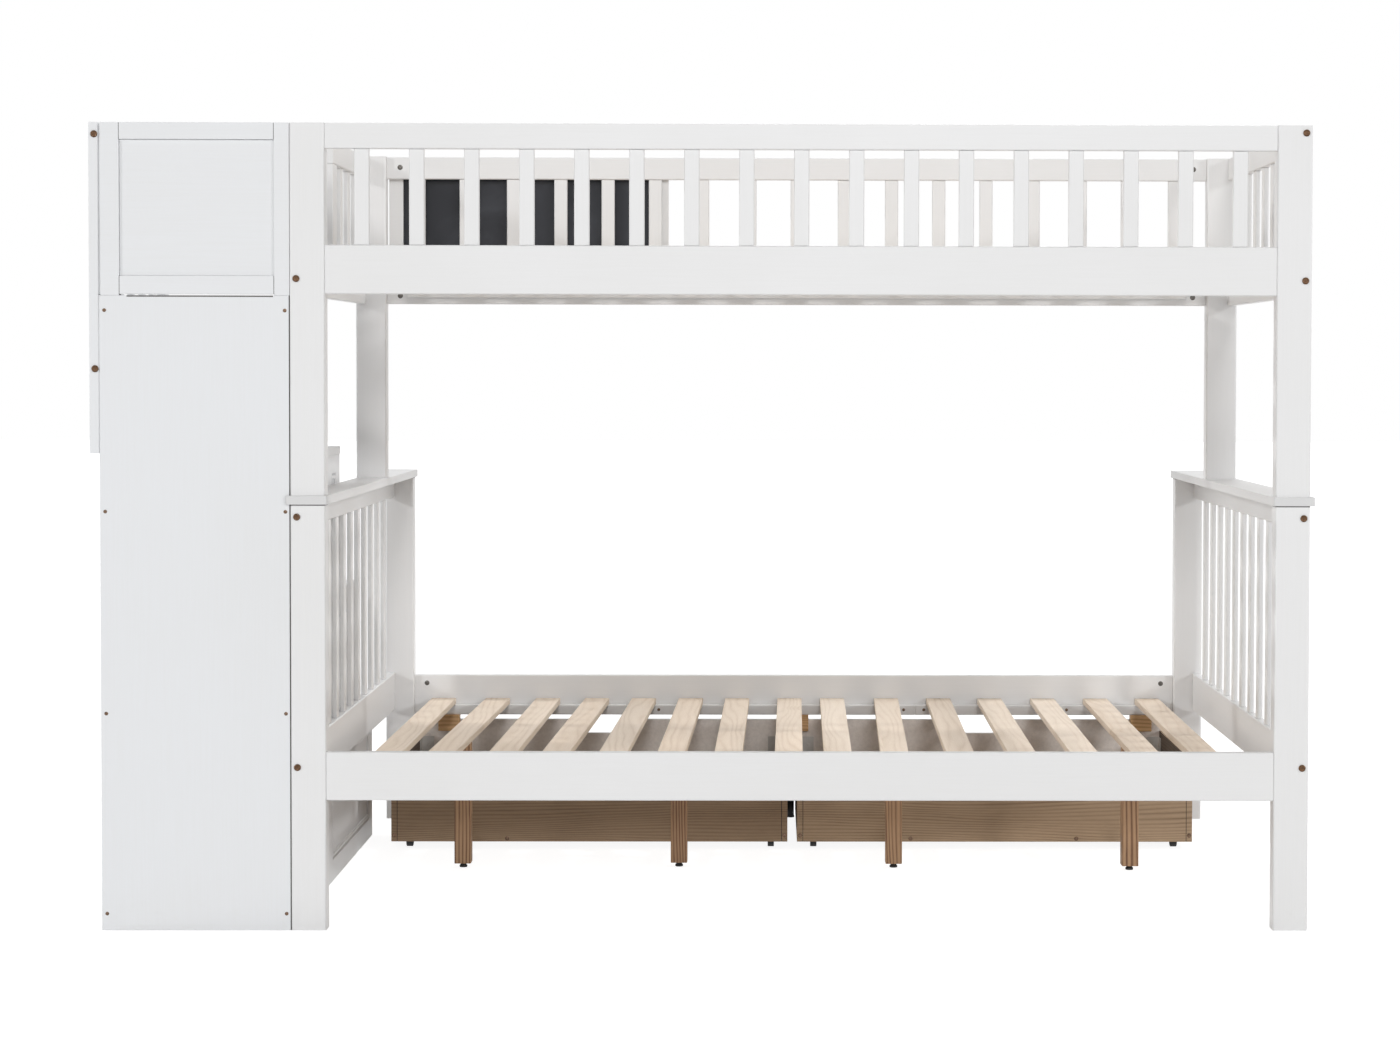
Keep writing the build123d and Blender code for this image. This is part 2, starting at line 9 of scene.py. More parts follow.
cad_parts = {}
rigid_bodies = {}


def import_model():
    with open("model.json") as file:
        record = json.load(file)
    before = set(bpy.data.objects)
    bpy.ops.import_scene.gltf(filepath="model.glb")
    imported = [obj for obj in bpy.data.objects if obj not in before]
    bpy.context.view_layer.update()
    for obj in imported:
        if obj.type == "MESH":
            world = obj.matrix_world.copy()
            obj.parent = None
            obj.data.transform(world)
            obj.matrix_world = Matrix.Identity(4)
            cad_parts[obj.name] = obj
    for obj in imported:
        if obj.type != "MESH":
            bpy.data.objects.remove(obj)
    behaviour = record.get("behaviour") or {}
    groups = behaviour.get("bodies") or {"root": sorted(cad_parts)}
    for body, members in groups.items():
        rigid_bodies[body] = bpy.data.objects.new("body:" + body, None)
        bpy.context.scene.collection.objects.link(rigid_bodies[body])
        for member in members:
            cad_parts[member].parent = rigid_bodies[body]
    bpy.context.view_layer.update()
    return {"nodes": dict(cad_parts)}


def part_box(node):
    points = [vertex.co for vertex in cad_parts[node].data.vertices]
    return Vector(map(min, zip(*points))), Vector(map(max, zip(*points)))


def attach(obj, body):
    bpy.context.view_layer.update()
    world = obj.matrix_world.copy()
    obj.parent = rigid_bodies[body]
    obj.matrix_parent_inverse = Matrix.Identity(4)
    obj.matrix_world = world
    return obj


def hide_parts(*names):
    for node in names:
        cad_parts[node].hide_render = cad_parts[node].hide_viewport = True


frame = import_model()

bl_info = {
    "name": "Staircase Bunk Bed",
    "version": (1, 0, 0),
    "blender": (4, 5, 0),
    "location": "View3D > Sidebar > Bunk Bed",
    "description": "Paints the bed, adds its bolts, screws, beads and wheels, and sets up the stage",
    "category": "Object",
}

MM = 0.001
ANYWHERE = 10.0  # further out than the bed reaches, for a joint with no end along an axis
TOUCH = 0.1 * MM  # how near a plane a face or an edge counts as lying on it

PAINT_IOR = 1.48
TIMBER_IOR = 1.46
SLAT_WIDTH = 65 * MM
DRAWER_BOARD = 15 * MM  # thickness of the bed drawers' sides
BOARD_JUMP = (7.31, 1.93, 3.17)  # how far the grain moves along each axis from one board to the next

# Where the bolts and screws are, measured from the parts that they go through
BOLT_BELOW_CAP = 27 * MM
BOLT_ABOVE_END_FRAME = 59 * MM
BOLT_BELOW_GUARD_TOP = 16.5 * MM
BOLT_ABOVE_SIDE_RAIL = 32.5 * MM
GUARD_BOLT_EDGE = 13 * MM
GUARD_BOLT_DROPS = (25.5 * MM, 527.5 * MM)
PANEL_SCREW_HEIGHTS = (1336 * MM, 904 * MM, 469 * MM, 36.5 * MM)
LEDGER_SCREWS_ALONG = (450 * MM, 733 * MM, 1392 * MM, 1446 * MM, 1831 * MM)
DRAWER_SCREWS_ALONG = {"left": (292 * MM,), "right": (287 * MM, 706 * MM)}

# Each lamp's name, place, softness in degrees, and the setting of its strength
LAMPS = (
    ("key_lamp", (-7.2, -6.8, 2.9), 7, "key"),
    ("fill_lamp", (7.2, -6.6, 2.9), 7, "fill"),
    ("front_lamp", (0.3, -9.8, 2.3), 6, "front"),
    ("left_lamp", (-8.0, 1.2, 7.4), 2, "side"),
    ("right_lamp", (8.0, 0.3, 7.4), 2, "side"),
    ("back_lamp", (1.5, 6.0, 6.5), 20, "back"),
)
CAMERA_SENSOR = 36  # millimetres, as the lens
CAMERA_SHIFT = (-0.0689, -0.0495)
CAMERA_TURN = -0.0095
CAMERA_ROLL = 0.0021

# Directions that a fitting can face, as turns of a fitting modelled facing +Z
FACING = {
    "-Y": Euler((math.pi / 2, 0, 0)),
    "+Y": Euler((-math.pi / 2, 0, 0)),
    "+X": Euler((0, math.pi / 2, 0)),
    "-X": Euler((0, -math.pi / 2, 0)),
    "+Z": Euler((0, 0, 0)),
    "-Z": Euler((math.pi, 0, 0)),
    "right corner": Euler((0, 0, -math.pi / 2)),
}

# CAD nodes by finish and by the way their boards run
BED_UPRIGHT = (
    "lower_post_wall_left", "lower_post_wall_right", "lower_post_room_left", "lower_post_room_right",
    "upper_post_wall_left", "upper_post_wall_right", "upper_post_room_left", "upper_post_room_right",
    "guard_spindles_wall", "guard_spindles_room",
)
BED_LENGTHWISE = (
    "lower_side_rail_wall", "lower_side_rail_room", "upper_side_rail_wall", "upper_side_rail_room",
    "guard_top_rail_wall", "guard_top_rail_room", "slate_frame",
)
BED_CROSSWISE = ("entry_bottom_rail",)
CAPS = ("post_cap_left", "post_cap_right")
BED_END_FRAMES = (
    ("lower_end_frame_left", "lower_end_frame_right"), ("upper_end_frame_right",), ("entry_guard",),
)
STAIR_UPRIGHT = ("outer_guard", "stair_side_inner", "stair_side_outer")
STAIR_LENGTHWISE = (
    "stair_treads", "stair_plinth",
    "stair_drawer_front_1", "stair_drawer_front_2", "stair_drawer_front_3", "stair_drawer_front_4",
)
BED_DRAWER_FRONTS = ("bed_drawer_front_left", "bed_drawer_front_right")
SLATS = ("upper_slats",)
LEGS = ("slat_legs",)
AMBER_BLOCKS = ("drawer_stops", "stair_runners")
BED_DRAWER_BOXES = ("bed_drawer_box_left", "bed_drawer_box_right")
STAIR_DRAWER_BOXES = ("stair_drawer_box_1", "stair_drawer_box_2", "stair_drawer_box_3", "stair_drawer_box_4")

# How far each lower slat's two ends lie from its even place, in millimetres
WALL_END_SHIFTS = (-10, -29, -19, -29, -24, -15, -9, -7, -13, -22, -10, -7, -1, -2, -5)
ROOM_END_SHIFTS = (0, 13, 13, 16, 11, 8, 3, 6, 1, 12, 7, 2, 5, 5, 8)

HOUSINGS = ("wheel_housings_left", "wheel_housings_right")


def low(node):
    """Lowest corner of a CAD node."""
    return Vector(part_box(node)[0])


def high(node):
    """Highest corner of a CAD node."""
    return Vector(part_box(node)[1])


def middle(node):
    """Middle of a CAD node's box."""
    return (low(node) + high(node)) / 2


# Modelling

def select_nothing():
    """Deselect every object, with none active."""
    for item in bpy.context.view_layer.objects:
        item.select_set(False)
    bpy.context.view_layer.objects.active = None


def select_only(*items):
    """Select these objects and make the first one active."""
    select_nothing()
    for item in items:
        item.select_set(True)
    bpy.context.view_layer.objects.active = items[0]


def edit(item, face_test=None, edge_test=None):
    """Enter edit mode with the faces or edges selected that pass a test on their middle and normal."""
    select_only(item)
    bpy.ops.object.mode_set(mode="EDIT")
    bpy.ops.mesh.select_mode(type="FACE" if face_test else "EDGE")
    bpy.ops.mesh.select_all(action="DESELECT")
    bpy.ops.object.mode_set(mode="OBJECT")
    mesh = item.data
    if face_test:
        for face in mesh.polygons:
            face.select = face_test(face.center, face.normal)
    if edge_test:
        for edge in mesh.edges:
            a, b = (mesh.vertices[n].co for n in edge.vertices)
            edge.select = edge_test((a + b) / 2, b - a)
    bpy.ops.object.mode_set(mode="EDIT")


def leave_edit():
    """Go back to object mode."""
    bpy.ops.object.mode_set(mode="OBJECT")


def settle(item):
    """Put an object's place into its mesh and leave it at the origin."""
    select_only(item)
    bpy.ops.object.transform_apply(location=True, rotation=True, scale=True)


def disc(name, radius, tall, sides, bottom=0.0):
    """A round piece standing on a height, ready to be shaped."""
    select_nothing()
    bpy.ops.mesh.primitive_cylinder_add(
        vertices=sides, radius=radius, depth=tall, location=(0, 0, bottom + tall / 2)
    )
    item = bpy.context.active_object
    item.name = name
    settle(item)
    return item


def block(name, size, centre):
    """A rectangular piece of a size round a middle, ready to be shaped."""
    select_nothing()
    bpy.ops.mesh.primitive_cube_add(size=1, location=centre)
    item = bpy.context.active_object
    item.name = name
    item.scale = size
    settle(item)
    return item


def round_edges(item, width, segments=2, test=None):
    """Bevel the edges of a piece that pass a test, or all of them."""
    edit(item, edge_test=test or (lambda centre, run: True))
    bpy.ops.mesh.bevel(offset=width, segments=segments, affect="EDGES", clamp_overlap=True)
    leave_edit()


def cut_away(item, cutter):
    """Take one piece out of another and remove the cutter."""
    cut = item.modifiers.new("cut", "BOOLEAN")
    cut.operation = "DIFFERENCE"
    cut.solver = "EXACT"
    cut.object = cutter
    select_only(item)
    bpy.ops.object.modifier_apply(modifier=cut.name)
    bpy.data.objects.remove(cutter)


def smooth(item, degrees=35):
    """Smooth a piece's shading except over its sharp edges."""
    select_only(item)
    bpy.ops.object.shade_smooth_by_angle(angle=math.radians(degrees))


def push_faces(*way):
    """Extrude the selected faces along a vector."""
    bpy.ops.mesh.extrude_region_move(TRANSFORM_OT_translate={"value": way})


def top_rim(tall):
    """A test for the edges round the top of a disc."""
    return lambda centre, run: abs(centre.z - tall) < TOUCH and abs(run.z) < TOUCH


def turned_to(point, facing):
    """Transform that puts a fitting modelled facing +Z at a point, turned to a facing."""
    return Matrix.Translation(point) @ FACING[facing].to_matrix().to_4x4()


def copy_to(master, name, place):
    """A copy of a piece with its own mesh, moved by a transform."""
    copy = bpy.data.objects.new(name, master.data.copy())
    bpy.context.scene.collection.objects.link(copy)
    copy.data.transform(place)
    return copy


def join_all(items, name):
    """Join pieces into one with a name."""
    select_only(*items)
    if len(items) > 1:
        bpy.ops.object.join()
    joined = bpy.context.active_object
    joined.name = name
    return joined


def spread_copies(master, name, places):
    """Copy a piece to each place and facing, join the copies into one and remove the master."""
    copies = [copy_to(master, name, turned_to(point, facing)) for point, facing in places]
    bpy.data.objects.remove(master)
    return join_all(copies, name)


def number_faces(item, number):
    """Give a piece two empty material slots and all its faces the number of one of them."""
    for _ in range(2):
        item.data.materials.append(None)
    for face in item.data.polygons:
        face.material_index = number


def finish_piece(item, body, materials):
    """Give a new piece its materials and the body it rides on."""
    item.data.materials.clear()
    for material in materials:
        item.data.materials.append(material)
    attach(item, body)


def rows_apart(values, gap):
    """Sorted values split wherever two neighbours lie further apart than a gap."""
    rows = []
    for value in sorted(values):
        if rows and value - rows[-1][-1] < gap:
            rows[-1].append(value)
        else:
            rows.append([value])
    return rows


def board_middles(node):
    """Middle along X of each board of a CAD node."""
    corners = [vertex.co.x for vertex in frame["nodes"][node].data.vertices]
    edges = rows_apart(corners, 5 * MM)
    return [(left[0] + right[-1]) / 2 for left, right in zip(edges[::2], edges[1::2])]


# Materials

def add(tree, kind, settings=None, **sockets):
    """Add a shader node, set its properties, and fill its inputs by name with values or links."""
    node = tree.nodes.new("ShaderNode" + kind)
    for name, value in (settings or {}).items():
        setattr(node, name, value)
    for name, value in sockets.items():
        feed(tree, node.inputs[name.replace("_", " ")], value)
    return node


def feed(tree, socket, value):
    """Link an output to a socket, or set the socket's value."""
    if isinstance(value, bpy.types.NodeSocket):
        tree.links.new(value, socket)
    else:
        socket.default_value = value


def arithmetic(tree, operation, *values):
    """A math node's result."""
    node = tree.nodes.new("ShaderNodeMath")
    node.operation = operation
    for socket, value in zip(node.inputs, values):
        feed(tree, socket, value)
    return node.outputs[0]


def times(tree, *values):
    """Two values multiplied."""
    return arithmetic(tree, "MULTIPLY", *values)


def plus(tree, *values):
    """Two values added."""
    return arithmetic(tree, "ADD", *values)


def vector_math(tree, operation, *values):
    """A vector math node's vector result."""
    node = tree.nodes.new("ShaderNodeVectorMath")
    node.operation = operation
    for socket, value in zip(node.inputs, values):
        feed(tree, socket, value)
    return node.outputs[0]


def split(tree, vector):
    """A vector's parts by axis name."""
    return add(tree, "SeparateXYZ", Vector=vector).outputs


def blend_colours(tree, factor, first, second, blend_type="MIX"):
    """Two colours mixed by a factor."""
    node = tree.nodes.new("ShaderNodeMix")
    node.data_type = "RGBA"
    node.blend_type = blend_type
    feed(tree, node.inputs[0], factor)
    feed(tree, node.inputs[6], first)
    feed(tree, node.inputs[7], second)
    return node.outputs[2]


def noise(tree, vector, scale, detail=2.0, roughness=0.5, distortion=0.0):
    """A noise value from 0 to 1."""
    node = add(
        tree, "TexNoise", Vector=vector, Scale=scale, Detail=detail, Roughness=roughness, Distortion=distortion
    )
    return node.outputs["Fac"]


def remap(tree, value, from_low, from_high, to_low=0.0, to_high=1.0):
    """A value carried from one range to another and held inside it."""
    node = add(
        tree, "MapRange", Value=value, From_Min=from_low, From_Max=from_high, To_Min=to_low, To_Max=to_high
    )
    return node.outputs[0]


def new_group(name, inputs, outputs):
    """An empty shader group with named inputs and outputs, and its two end nodes."""
    tree = bpy.data.node_groups.new(name, "ShaderNodeTree")
    kinds = {"value": "NodeSocketFloat", "colour": "NodeSocketColor", "vector": "NodeSocketVector"}
    for label, kind, default in inputs:
        socket = tree.interface.new_socket(label, in_out="INPUT", socket_type=kinds[kind])
        if default is not None:
            socket.default_value = default
    for label, kind in outputs:
        tree.interface.new_socket(label, in_out="OUTPUT", socket_type=kinds[kind])
    return tree, tree.nodes.new("NodeGroupInput").outputs, tree.nodes.new("NodeGroupOutput").inputs


def place_group(tree, group, **sockets):
    """Put a shader group into a material with its own values."""
    node = tree.nodes.new("ShaderNodeGroup")
    node.node_tree = group
    for name, value in sockets.items():
        feed(tree, node.inputs[name.replace("_", " ")], value)
    return node.outputs


def timber_grain_group():
    """Growth rings, fibres, pores and knots of a sawn board whose grain runs along X."""
    tree, given, out = new_group(
        "timber_grain",
        [("Vector", "vector", None), ("Rings", "value", 180.0), ("Straight", "value", 1.0),
         ("Waviness", "value", 0.03), ("Figure", "value", 0.5), ("Knots", "value", 0.0),
         ("Light", "colour", (0.6, 0.45, 0.3, 1)), ("Dark", "colour", (0.35, 0.22, 0.12, 1))],
        [("Colour", "colour"), ("Roughness", "value"), ("Height", "value")],
    )
    along = vector_math(tree, "MULTIPLY", given["Vector"], (0.12, 1.0, 1.0))
    strands = vector_math(tree, "MULTIPLY", given["Vector"], (0.04, 1.0, 1.0))
    parts = split(tree, given["Vector"])
    knot_cells = add(
        tree, "TexVoronoi", {"feature": "F1"},
        Vector=vector_math(tree, "MULTIPLY", given["Vector"], (0.5, 1.0, 1.0)), Scale=3.2,
    )
    knot = remap(tree, knot_cells.outputs["Distance"], 0.03, 0.14, 1.0, 0.0)
    knot = times(tree, knot, given["Knots"])
    across = plus(tree, parts["Y"], parts["Z"])
    across = times(tree, across, given["Straight"])
    warp = noise(tree, along, 9.0, detail=2.0, roughness=0.4)
    warp = plus(tree, warp, times(tree, knot, 0.5))
    drift = plus(tree, across, times(tree, warp, given["Waviness"]))
    rings = arithmetic(tree, "PINGPONG", times(tree, drift, given["Rings"]), 0.5)
    late_wood = arithmetic(tree, "POWER", times(tree, rings, 2.0), 2.2)
    uneven = remap(tree, noise(tree, along, 30.0, detail=2.0), 0.3, 0.7, 0.35, 1.0)
    late_wood = times(tree, late_wood, uneven)
    fibres = noise(tree, strands, 520.0, detail=3.0, roughness=0.65)
    pores = remap(tree, noise(tree, strands, 1300.0, detail=1.0), 0.6, 0.75)
    broad = noise(tree, along, 4.0, detail=2.0)
    shade = times(tree, late_wood, given["Figure"])
    shade = plus(tree, shade, times(tree, fibres, 0.4))
    shade = plus(tree, shade, times(tree, pores, 0.15))
    shade = plus(tree, shade, remap(tree, broad, 0.3, 0.7, -0.15, 0.2))
    shade = plus(tree, shade, times(tree, knot, 0.9))
    shade = remap(tree, shade, 0.05, 1.1)
    feed(tree, out["Colour"], blend_colours(tree, shade, given["Light"], given["Dark"]))
    feed(tree, out["Roughness"], remap(tree, shade, 0.0, 1.0, 0.5, 0.66))
    hollow = plus(tree, late_wood, times(tree, pores, -1.4))
    feed(tree, out["Height"], plus(tree, hollow, fibres))
    return tree


def paint_film_group():
    """Sprayed and rubbed-down paint over timber: faint grain, soft clouding, orange peel and dust low down."""
    tree, given, out = new_group(
        "paint_film",
        [("Vector", "vector", None), ("Position", "vector", None), ("Colour", "colour", (0.8, 0.8, 0.8, 1)),
         ("Shade", "colour", (0.7, 0.7, 0.68, 1)), ("Grain", "value", 0.5), ("Dust", "value", 0.5)],
        [("Colour", "colour"), ("Roughness", "value"), ("Height", "value")],
    )
    strands = vector_math(tree, "MULTIPLY", given["Vector"], (0.025, 1.0, 1.0))
    grain = noise(tree, strands, 260.0, detail=3.0, roughness=0.55)
    clouds = noise(tree, given["Position"], 2.2, detail=2.0, roughness=0.5)
    peel = noise(tree, given["Position"], 700.0, detail=1.0)
    near_floor = remap(tree, split(tree, given["Position"])["Z"], 0.0, 0.09, 1.0, 0.0)
    scuffs = remap(tree, noise(tree, given["Position"], 38.0, detail=4.0, roughness=0.65), 0.52, 0.78)
    dust = times(tree, near_floor, scuffs)
    dust = times(tree, dust, given["Dust"])
    shade = times(tree, remap(tree, grain, 0.35, 0.75), given["Grain"])
    shade = times(tree, shade, 0.3)
    shade = plus(tree, shade, remap(tree, clouds, 0.35, 0.7, 0.0, 0.2))
    shade = plus(tree, shade, times(tree, dust, 0.6))
    feed(tree, out["Colour"], blend_colours(tree, shade, given["Colour"], given["Shade"]))
    gloss = remap(tree, clouds, 0.3, 0.7, 0.34, 0.44)
    feed(tree, out["Roughness"], plus(tree, gloss, times(tree, dust, 0.25)))
    bumps = times(tree, grain, given["Grain"])
    feed(tree, out["Height"], plus(tree, bumps, times(tree, peel, 0.25)))
    return tree


def metal_wear_group():
    """Tarnish in patches and fine turning marks on a plated or painted fitting."""
    tree, given, out = new_group(
        "metal_wear",
        [("Vector", "vector", None), ("Colour", "colour", (0.4, 0.3, 0.2, 1)),
         ("Tarnish", "colour", (0.1, 0.07, 0.05, 1)), ("Amount", "value", 0.6)],
        [("Colour", "colour"), ("Roughness", "value"), ("Height", "value")],
    )
    patches = remap(tree, noise(tree, given["Vector"], 260.0, detail=3.0, roughness=0.6), 0.38, 0.66)
    grit = noise(tree, given["Vector"], 2600.0, detail=1.0)
    cover = times(tree, patches, given["Amount"])
    feed(tree, out["Colour"], blend_colours(tree, cover, given["Colour"], given["Tarnish"]))
    feed(tree, out["Roughness"], remap(tree, plus(tree, cover, grit), 0.3, 1.5, 0.28, 0.58))
    feed(tree, out["Height"], plus(tree, grit, patches))
    return tree


def moulded_grain_group():
    """Fine spark-eroded grain of a moulded plastic or a coated board, with rubbed patches."""
    tree, given, out = new_group(
        "moulded_grain",
        [("Vector", "vector", None), ("Colour", "colour", (0.02, 0.02, 0.02, 1)),
         ("Rubbed", "colour", (0.06, 0.06, 0.06, 1)), ("Grain Size", "value", 1400.0)],
        [("Colour", "colour"), ("Roughness", "value"), ("Height", "value")],
    )
    grain = noise(tree, given["Vector"], given["Grain Size"], detail=2.0)
    rubbed = remap(tree, noise(tree, given["Vector"], 9.0, detail=4.0, roughness=0.6, distortion=0.6), 0.45, 0.8)
    feed(tree, out["Colour"], blend_colours(tree, rubbed, given["Colour"], given["Rubbed"]))
    feed(tree, out["Roughness"], arithmetic(tree, "SUBTRACT", 0.62, times(tree, rubbed, 0.16)))
    feed(tree, out["Height"], grain)
    return tree


def seam_shade_group():
    """Mask for painted shade: 1 inside a thin box round the seam between two boards, given by its middle and half
    its size.
    """
    tree, given, out = new_group(
        "joint_line",
        [("Position", "vector", None), ("Middle", "vector", None), ("Half Size", "vector", None)],
        [("Mask", "value")],
    )
    position, centre, half = (
        split(tree, given[name]) for name in ("Position", "Middle", "Half Size")
    )
    inside = 1.0
    for axis in "XYZ":
        near = arithmetic(tree, "COMPARE", position[axis], centre[axis], half[axis])
        inside = times(tree, inside, near)
    feed(tree, out["Mask"], inside)
    return tree


def group(name, maker):
    """A shared shader group, built on first use."""
    return bpy.data.node_groups.get(name) or maker()


def start_material(name):
    """A new material's tree, its shader, and the object coordinates."""
    material = bpy.data.materials.new(name)
    material.use_nodes = True
    tree = material.node_tree
    shader = tree.nodes["Principled BSDF"]
    position = add(tree, "TexCoord").outputs["Object"]
    return material, tree, shader, position


def connect_surface(tree, shader, surface, strength, distance):
    """Feed a surface group's colour, roughness and height into the shader."""
    feed(tree, shader.inputs["Base Color"], surface["Colour"])
    feed(tree, shader.inputs["Roughness"], surface["Roughness"])
    bump = add(tree, "Bump", Strength=strength, Distance=distance, Height=surface["Height"])
    feed(tree, shader.inputs["Normal"], bump.outputs["Normal"])


def grain_along(tree, position, axis):
    """Coordinates turned so that the board's length runs along X."""
    parts = split(tree, position)
    order = {"X": "XYZ", "Y": "YXZ", "Z": "ZXY"}[axis]
    joined = add(tree, "CombineXYZ", X=parts[order[0]], Y=parts[order[1]], Z=parts[order[2]])
    return joined.outputs[0]


def upright_between(tree, position, z_low, z_high):
    """1 between two heights and 0 outside them."""
    z = split(tree, position)["Z"]
    above = arithmetic(tree, "GREATER_THAN", z, z_low)
    return times(tree, above, arithmetic(tree, "LESS_THAN", z, z_high))


def blend_vectors(tree, factor, first, second):
    """Two vectors mixed by a factor."""
    node = tree.nodes.new("ShaderNodeMix")
    node.data_type = "VECTOR"
    feed(tree, node.inputs[0], factor)
    feed(tree, node.inputs[4], first)
    feed(tree, node.inputs[5], second)
    return node.outputs[1]


def seam_shades(tree, position, joints):
    """Mask for painted shade: 1 inside any of the thin boxes round the seams, given as pairs of corners."""
    found = 0.0
    for start, end in joints:
        line = place_group(
            tree, group("joint_line", seam_shade_group), Position=position,
            Middle=[(a + b) / 2 for a, b in zip(start, end)], Half_Size=[(b - a) / 2 for a, b in zip(start, end)],
        )
        found = arithmetic(tree, "MAXIMUM", found, line["Mask"])
    return found


def white_paint(name, axis, paint, colour, spindles=None, shade_lines=(), over=None):
    """Satin white paint on boards that run along one axis, with upright spindles between two heights, and painted
    shade along the seams.
    """
    material, tree, shader, position = start_material(name)
    vector = grain_along(tree, position, axis)
    if spindles:
        upright = grain_along(tree, position, "Z")
        vector = blend_vectors(tree, upright_between(tree, position, *spindles), vector, upright)
    surface = place_group(
        tree, group("paint_film", paint_film_group), Vector=vector, Position=position,
        Colour=(*colour, 1), Shade=(*paint.shade, 1), Grain=paint.grain, Dust=paint.dust,
    )
    connect_surface(tree, shader, surface, 0.35, 0.15 * MM)
    tint = over(tree, position, surface["Colour"]) if over else surface["Colour"]
    if shade_lines:
        # Painted shade: the seams are darkened to near black where shade falls in the gaps.
        dark = times(tree, seam_shades(tree, position, shade_lines), 0.9)
        tint = blend_colours(tree, dark, tint, (0.05, 0.045, 0.04, 1))
    feed(tree, shader.inputs["Base Color"], tint)
    shader.inputs["IOR"].default_value = PAINT_IOR
    return material


def bare_timber(name, vector_of, light, dark, straight, waviness, figure, knots=0.0, over=None):
    """Planed bare timber. vector_of turns object coordinates into board coordinates, and over may tint it."""
    material, tree, shader, position = start_material(name)
    surface = place_group(
        tree, group("timber_grain", timber_grain_group), Vector=vector_of(tree, position),
        Light=(*light, 1), Dark=(*dark, 1), Straight=straight, Waviness=waviness, Figure=figure, Knots=knots,
    )
    connect_surface(tree, shader, surface, 0.5, 0.2 * MM)
    if over:
        feed(tree, shader.inputs["Base Color"], over(tree, position, surface["Colour"]))
    shader.inputs["IOR"].default_value = TIMBER_IOR
    return material


def board_number(tree, value, first, step):
    """Whole number of the board that a coordinate falls on, for boards laid at an even step."""
    count = arithmetic(tree, "DIVIDE", arithmetic(tree, "SUBTRACT", value, first), step)
    return arithmetic(tree, "ROUND", count)


def shifted_per_board(tree, vector, number):
    """Board coordinates moved far along for each board, so that no two boards share a figure."""
    jumps = {axis: times(tree, number, far) for axis, far in zip("XYZ", BOARD_JUMP)}
    jump = add(tree, "CombineXYZ", **jumps)
    return vector_math(tree, "ADD", vector, jump.outputs[0])


def fitting_metal(name, colour, tarnish, amount):
    """Plated or painted metal of a fitting."""
    material, tree, shader, position = start_material(name)
    surface = place_group(
        tree, group("metal_wear", metal_wear_group), Vector=position,
        Colour=(*colour, 1), Tarnish=(*tarnish, 1), Amount=amount,
    )
    connect_surface(tree, shader, surface, 0.2, 0.05 * MM)
    shader.inputs["Metallic"].default_value = 1.0
    return material


def moulded_plastic(name, colour, rubbed, grain_size=1400.0):
    """Moulded plastic, a powder coat or a coated board."""
    material, tree, shader, position = start_material(name)
    surface = place_group(
        tree, group("moulded_grain", moulded_grain_group), Vector=position,
        Colour=(*colour, 1), Rubbed=(*rubbed, 1), Grain_Size=grain_size,
    )
    connect_surface(tree, shader, surface, 0.25, 0.08 * MM)
    return material


def black_plastic():
    """Black plastic of the wheels, their housings and the feet, made on first use."""
    black = settings().fittings.black
    name = "black_plastic"
    return bpy.data.materials.get(name) or moulded_plastic(name, black, [part * 3 for part in black])


def dress(nodes, material, width=0.0):
    """Give CAD nodes a material and, where a width is set, softly rounded edges."""
    for name in nodes:
        item = frame["nodes"][name]
        item.data.materials.clear()
        item.data.materials.append(material)
        if width:
            weld = item.modifiers.new("weld", "WELD")
            weld.merge_threshold = 0.01 * MM
            bevel = item.modifiers.new("soft_edges", "BEVEL")
            bevel.width = width
            bevel.segments = 2
            bevel.limit_method = "ANGLE"
            bevel.angle_limit = math.radians(25)
            bevel.harden_normals = True


# Settings

def colour_setting(name, description, default):
    """A colour that the user can change."""
    return FloatVectorProperty(
        name=name, description=description, subtype="COLOR", size=3, min=0, max=1, default=default,
    )


def length_setting(name, description, least, most, default):
    """A length that the user can change."""
    return FloatProperty(
        name=name, description=description, subtype="DISTANCE", unit="LENGTH",
        min=least, max=most, default=default,
    )


def share_setting(name, description, default):
    """A share from none to all that the user can change."""
    return FloatProperty(name=name, description=description, subtype="FACTOR", min=0, max=1, default=default)


def strength_setting(name, description, most, default):
    """A light's strength that the user can change."""
    return FloatProperty(name=name, description=description, min=0, max=most, default=default)


class BunkPaintSettings(bpy.types.PropertyGroup):
    """Colour and texture of the paint."""

    colour: colour_setting("Paint", "Colour of the paint", (0.80, 0.80, 0.803))
    stair_colour: colour_setting(
        "Stair Paint", "Colour of the paint on the stair unit and its guards", (0.785, 0.797, 0.815),
    )
    shade: colour_setting(
        "Paint Shade", "Colour that clouding, grain and dust turn the paint towards", (0.72, 0.715, 0.70),
    )
    primer: colour_setting(
        "Primer", "Colour of the bed drawer fronts' unpainted inner faces", (0.90, 0.84, 0.79),
    )
    grain: share_setting("Grain", "How much the timber's grain shows through the paint", 0.5)
    dust: share_setting("Dust", "How much dust and scuffing shows near the floor", 0.5)
    edge_round: length_setting("Edge Rounding", "Width of the rounding on painted edges", 0, 0.005, 1.2 * MM)


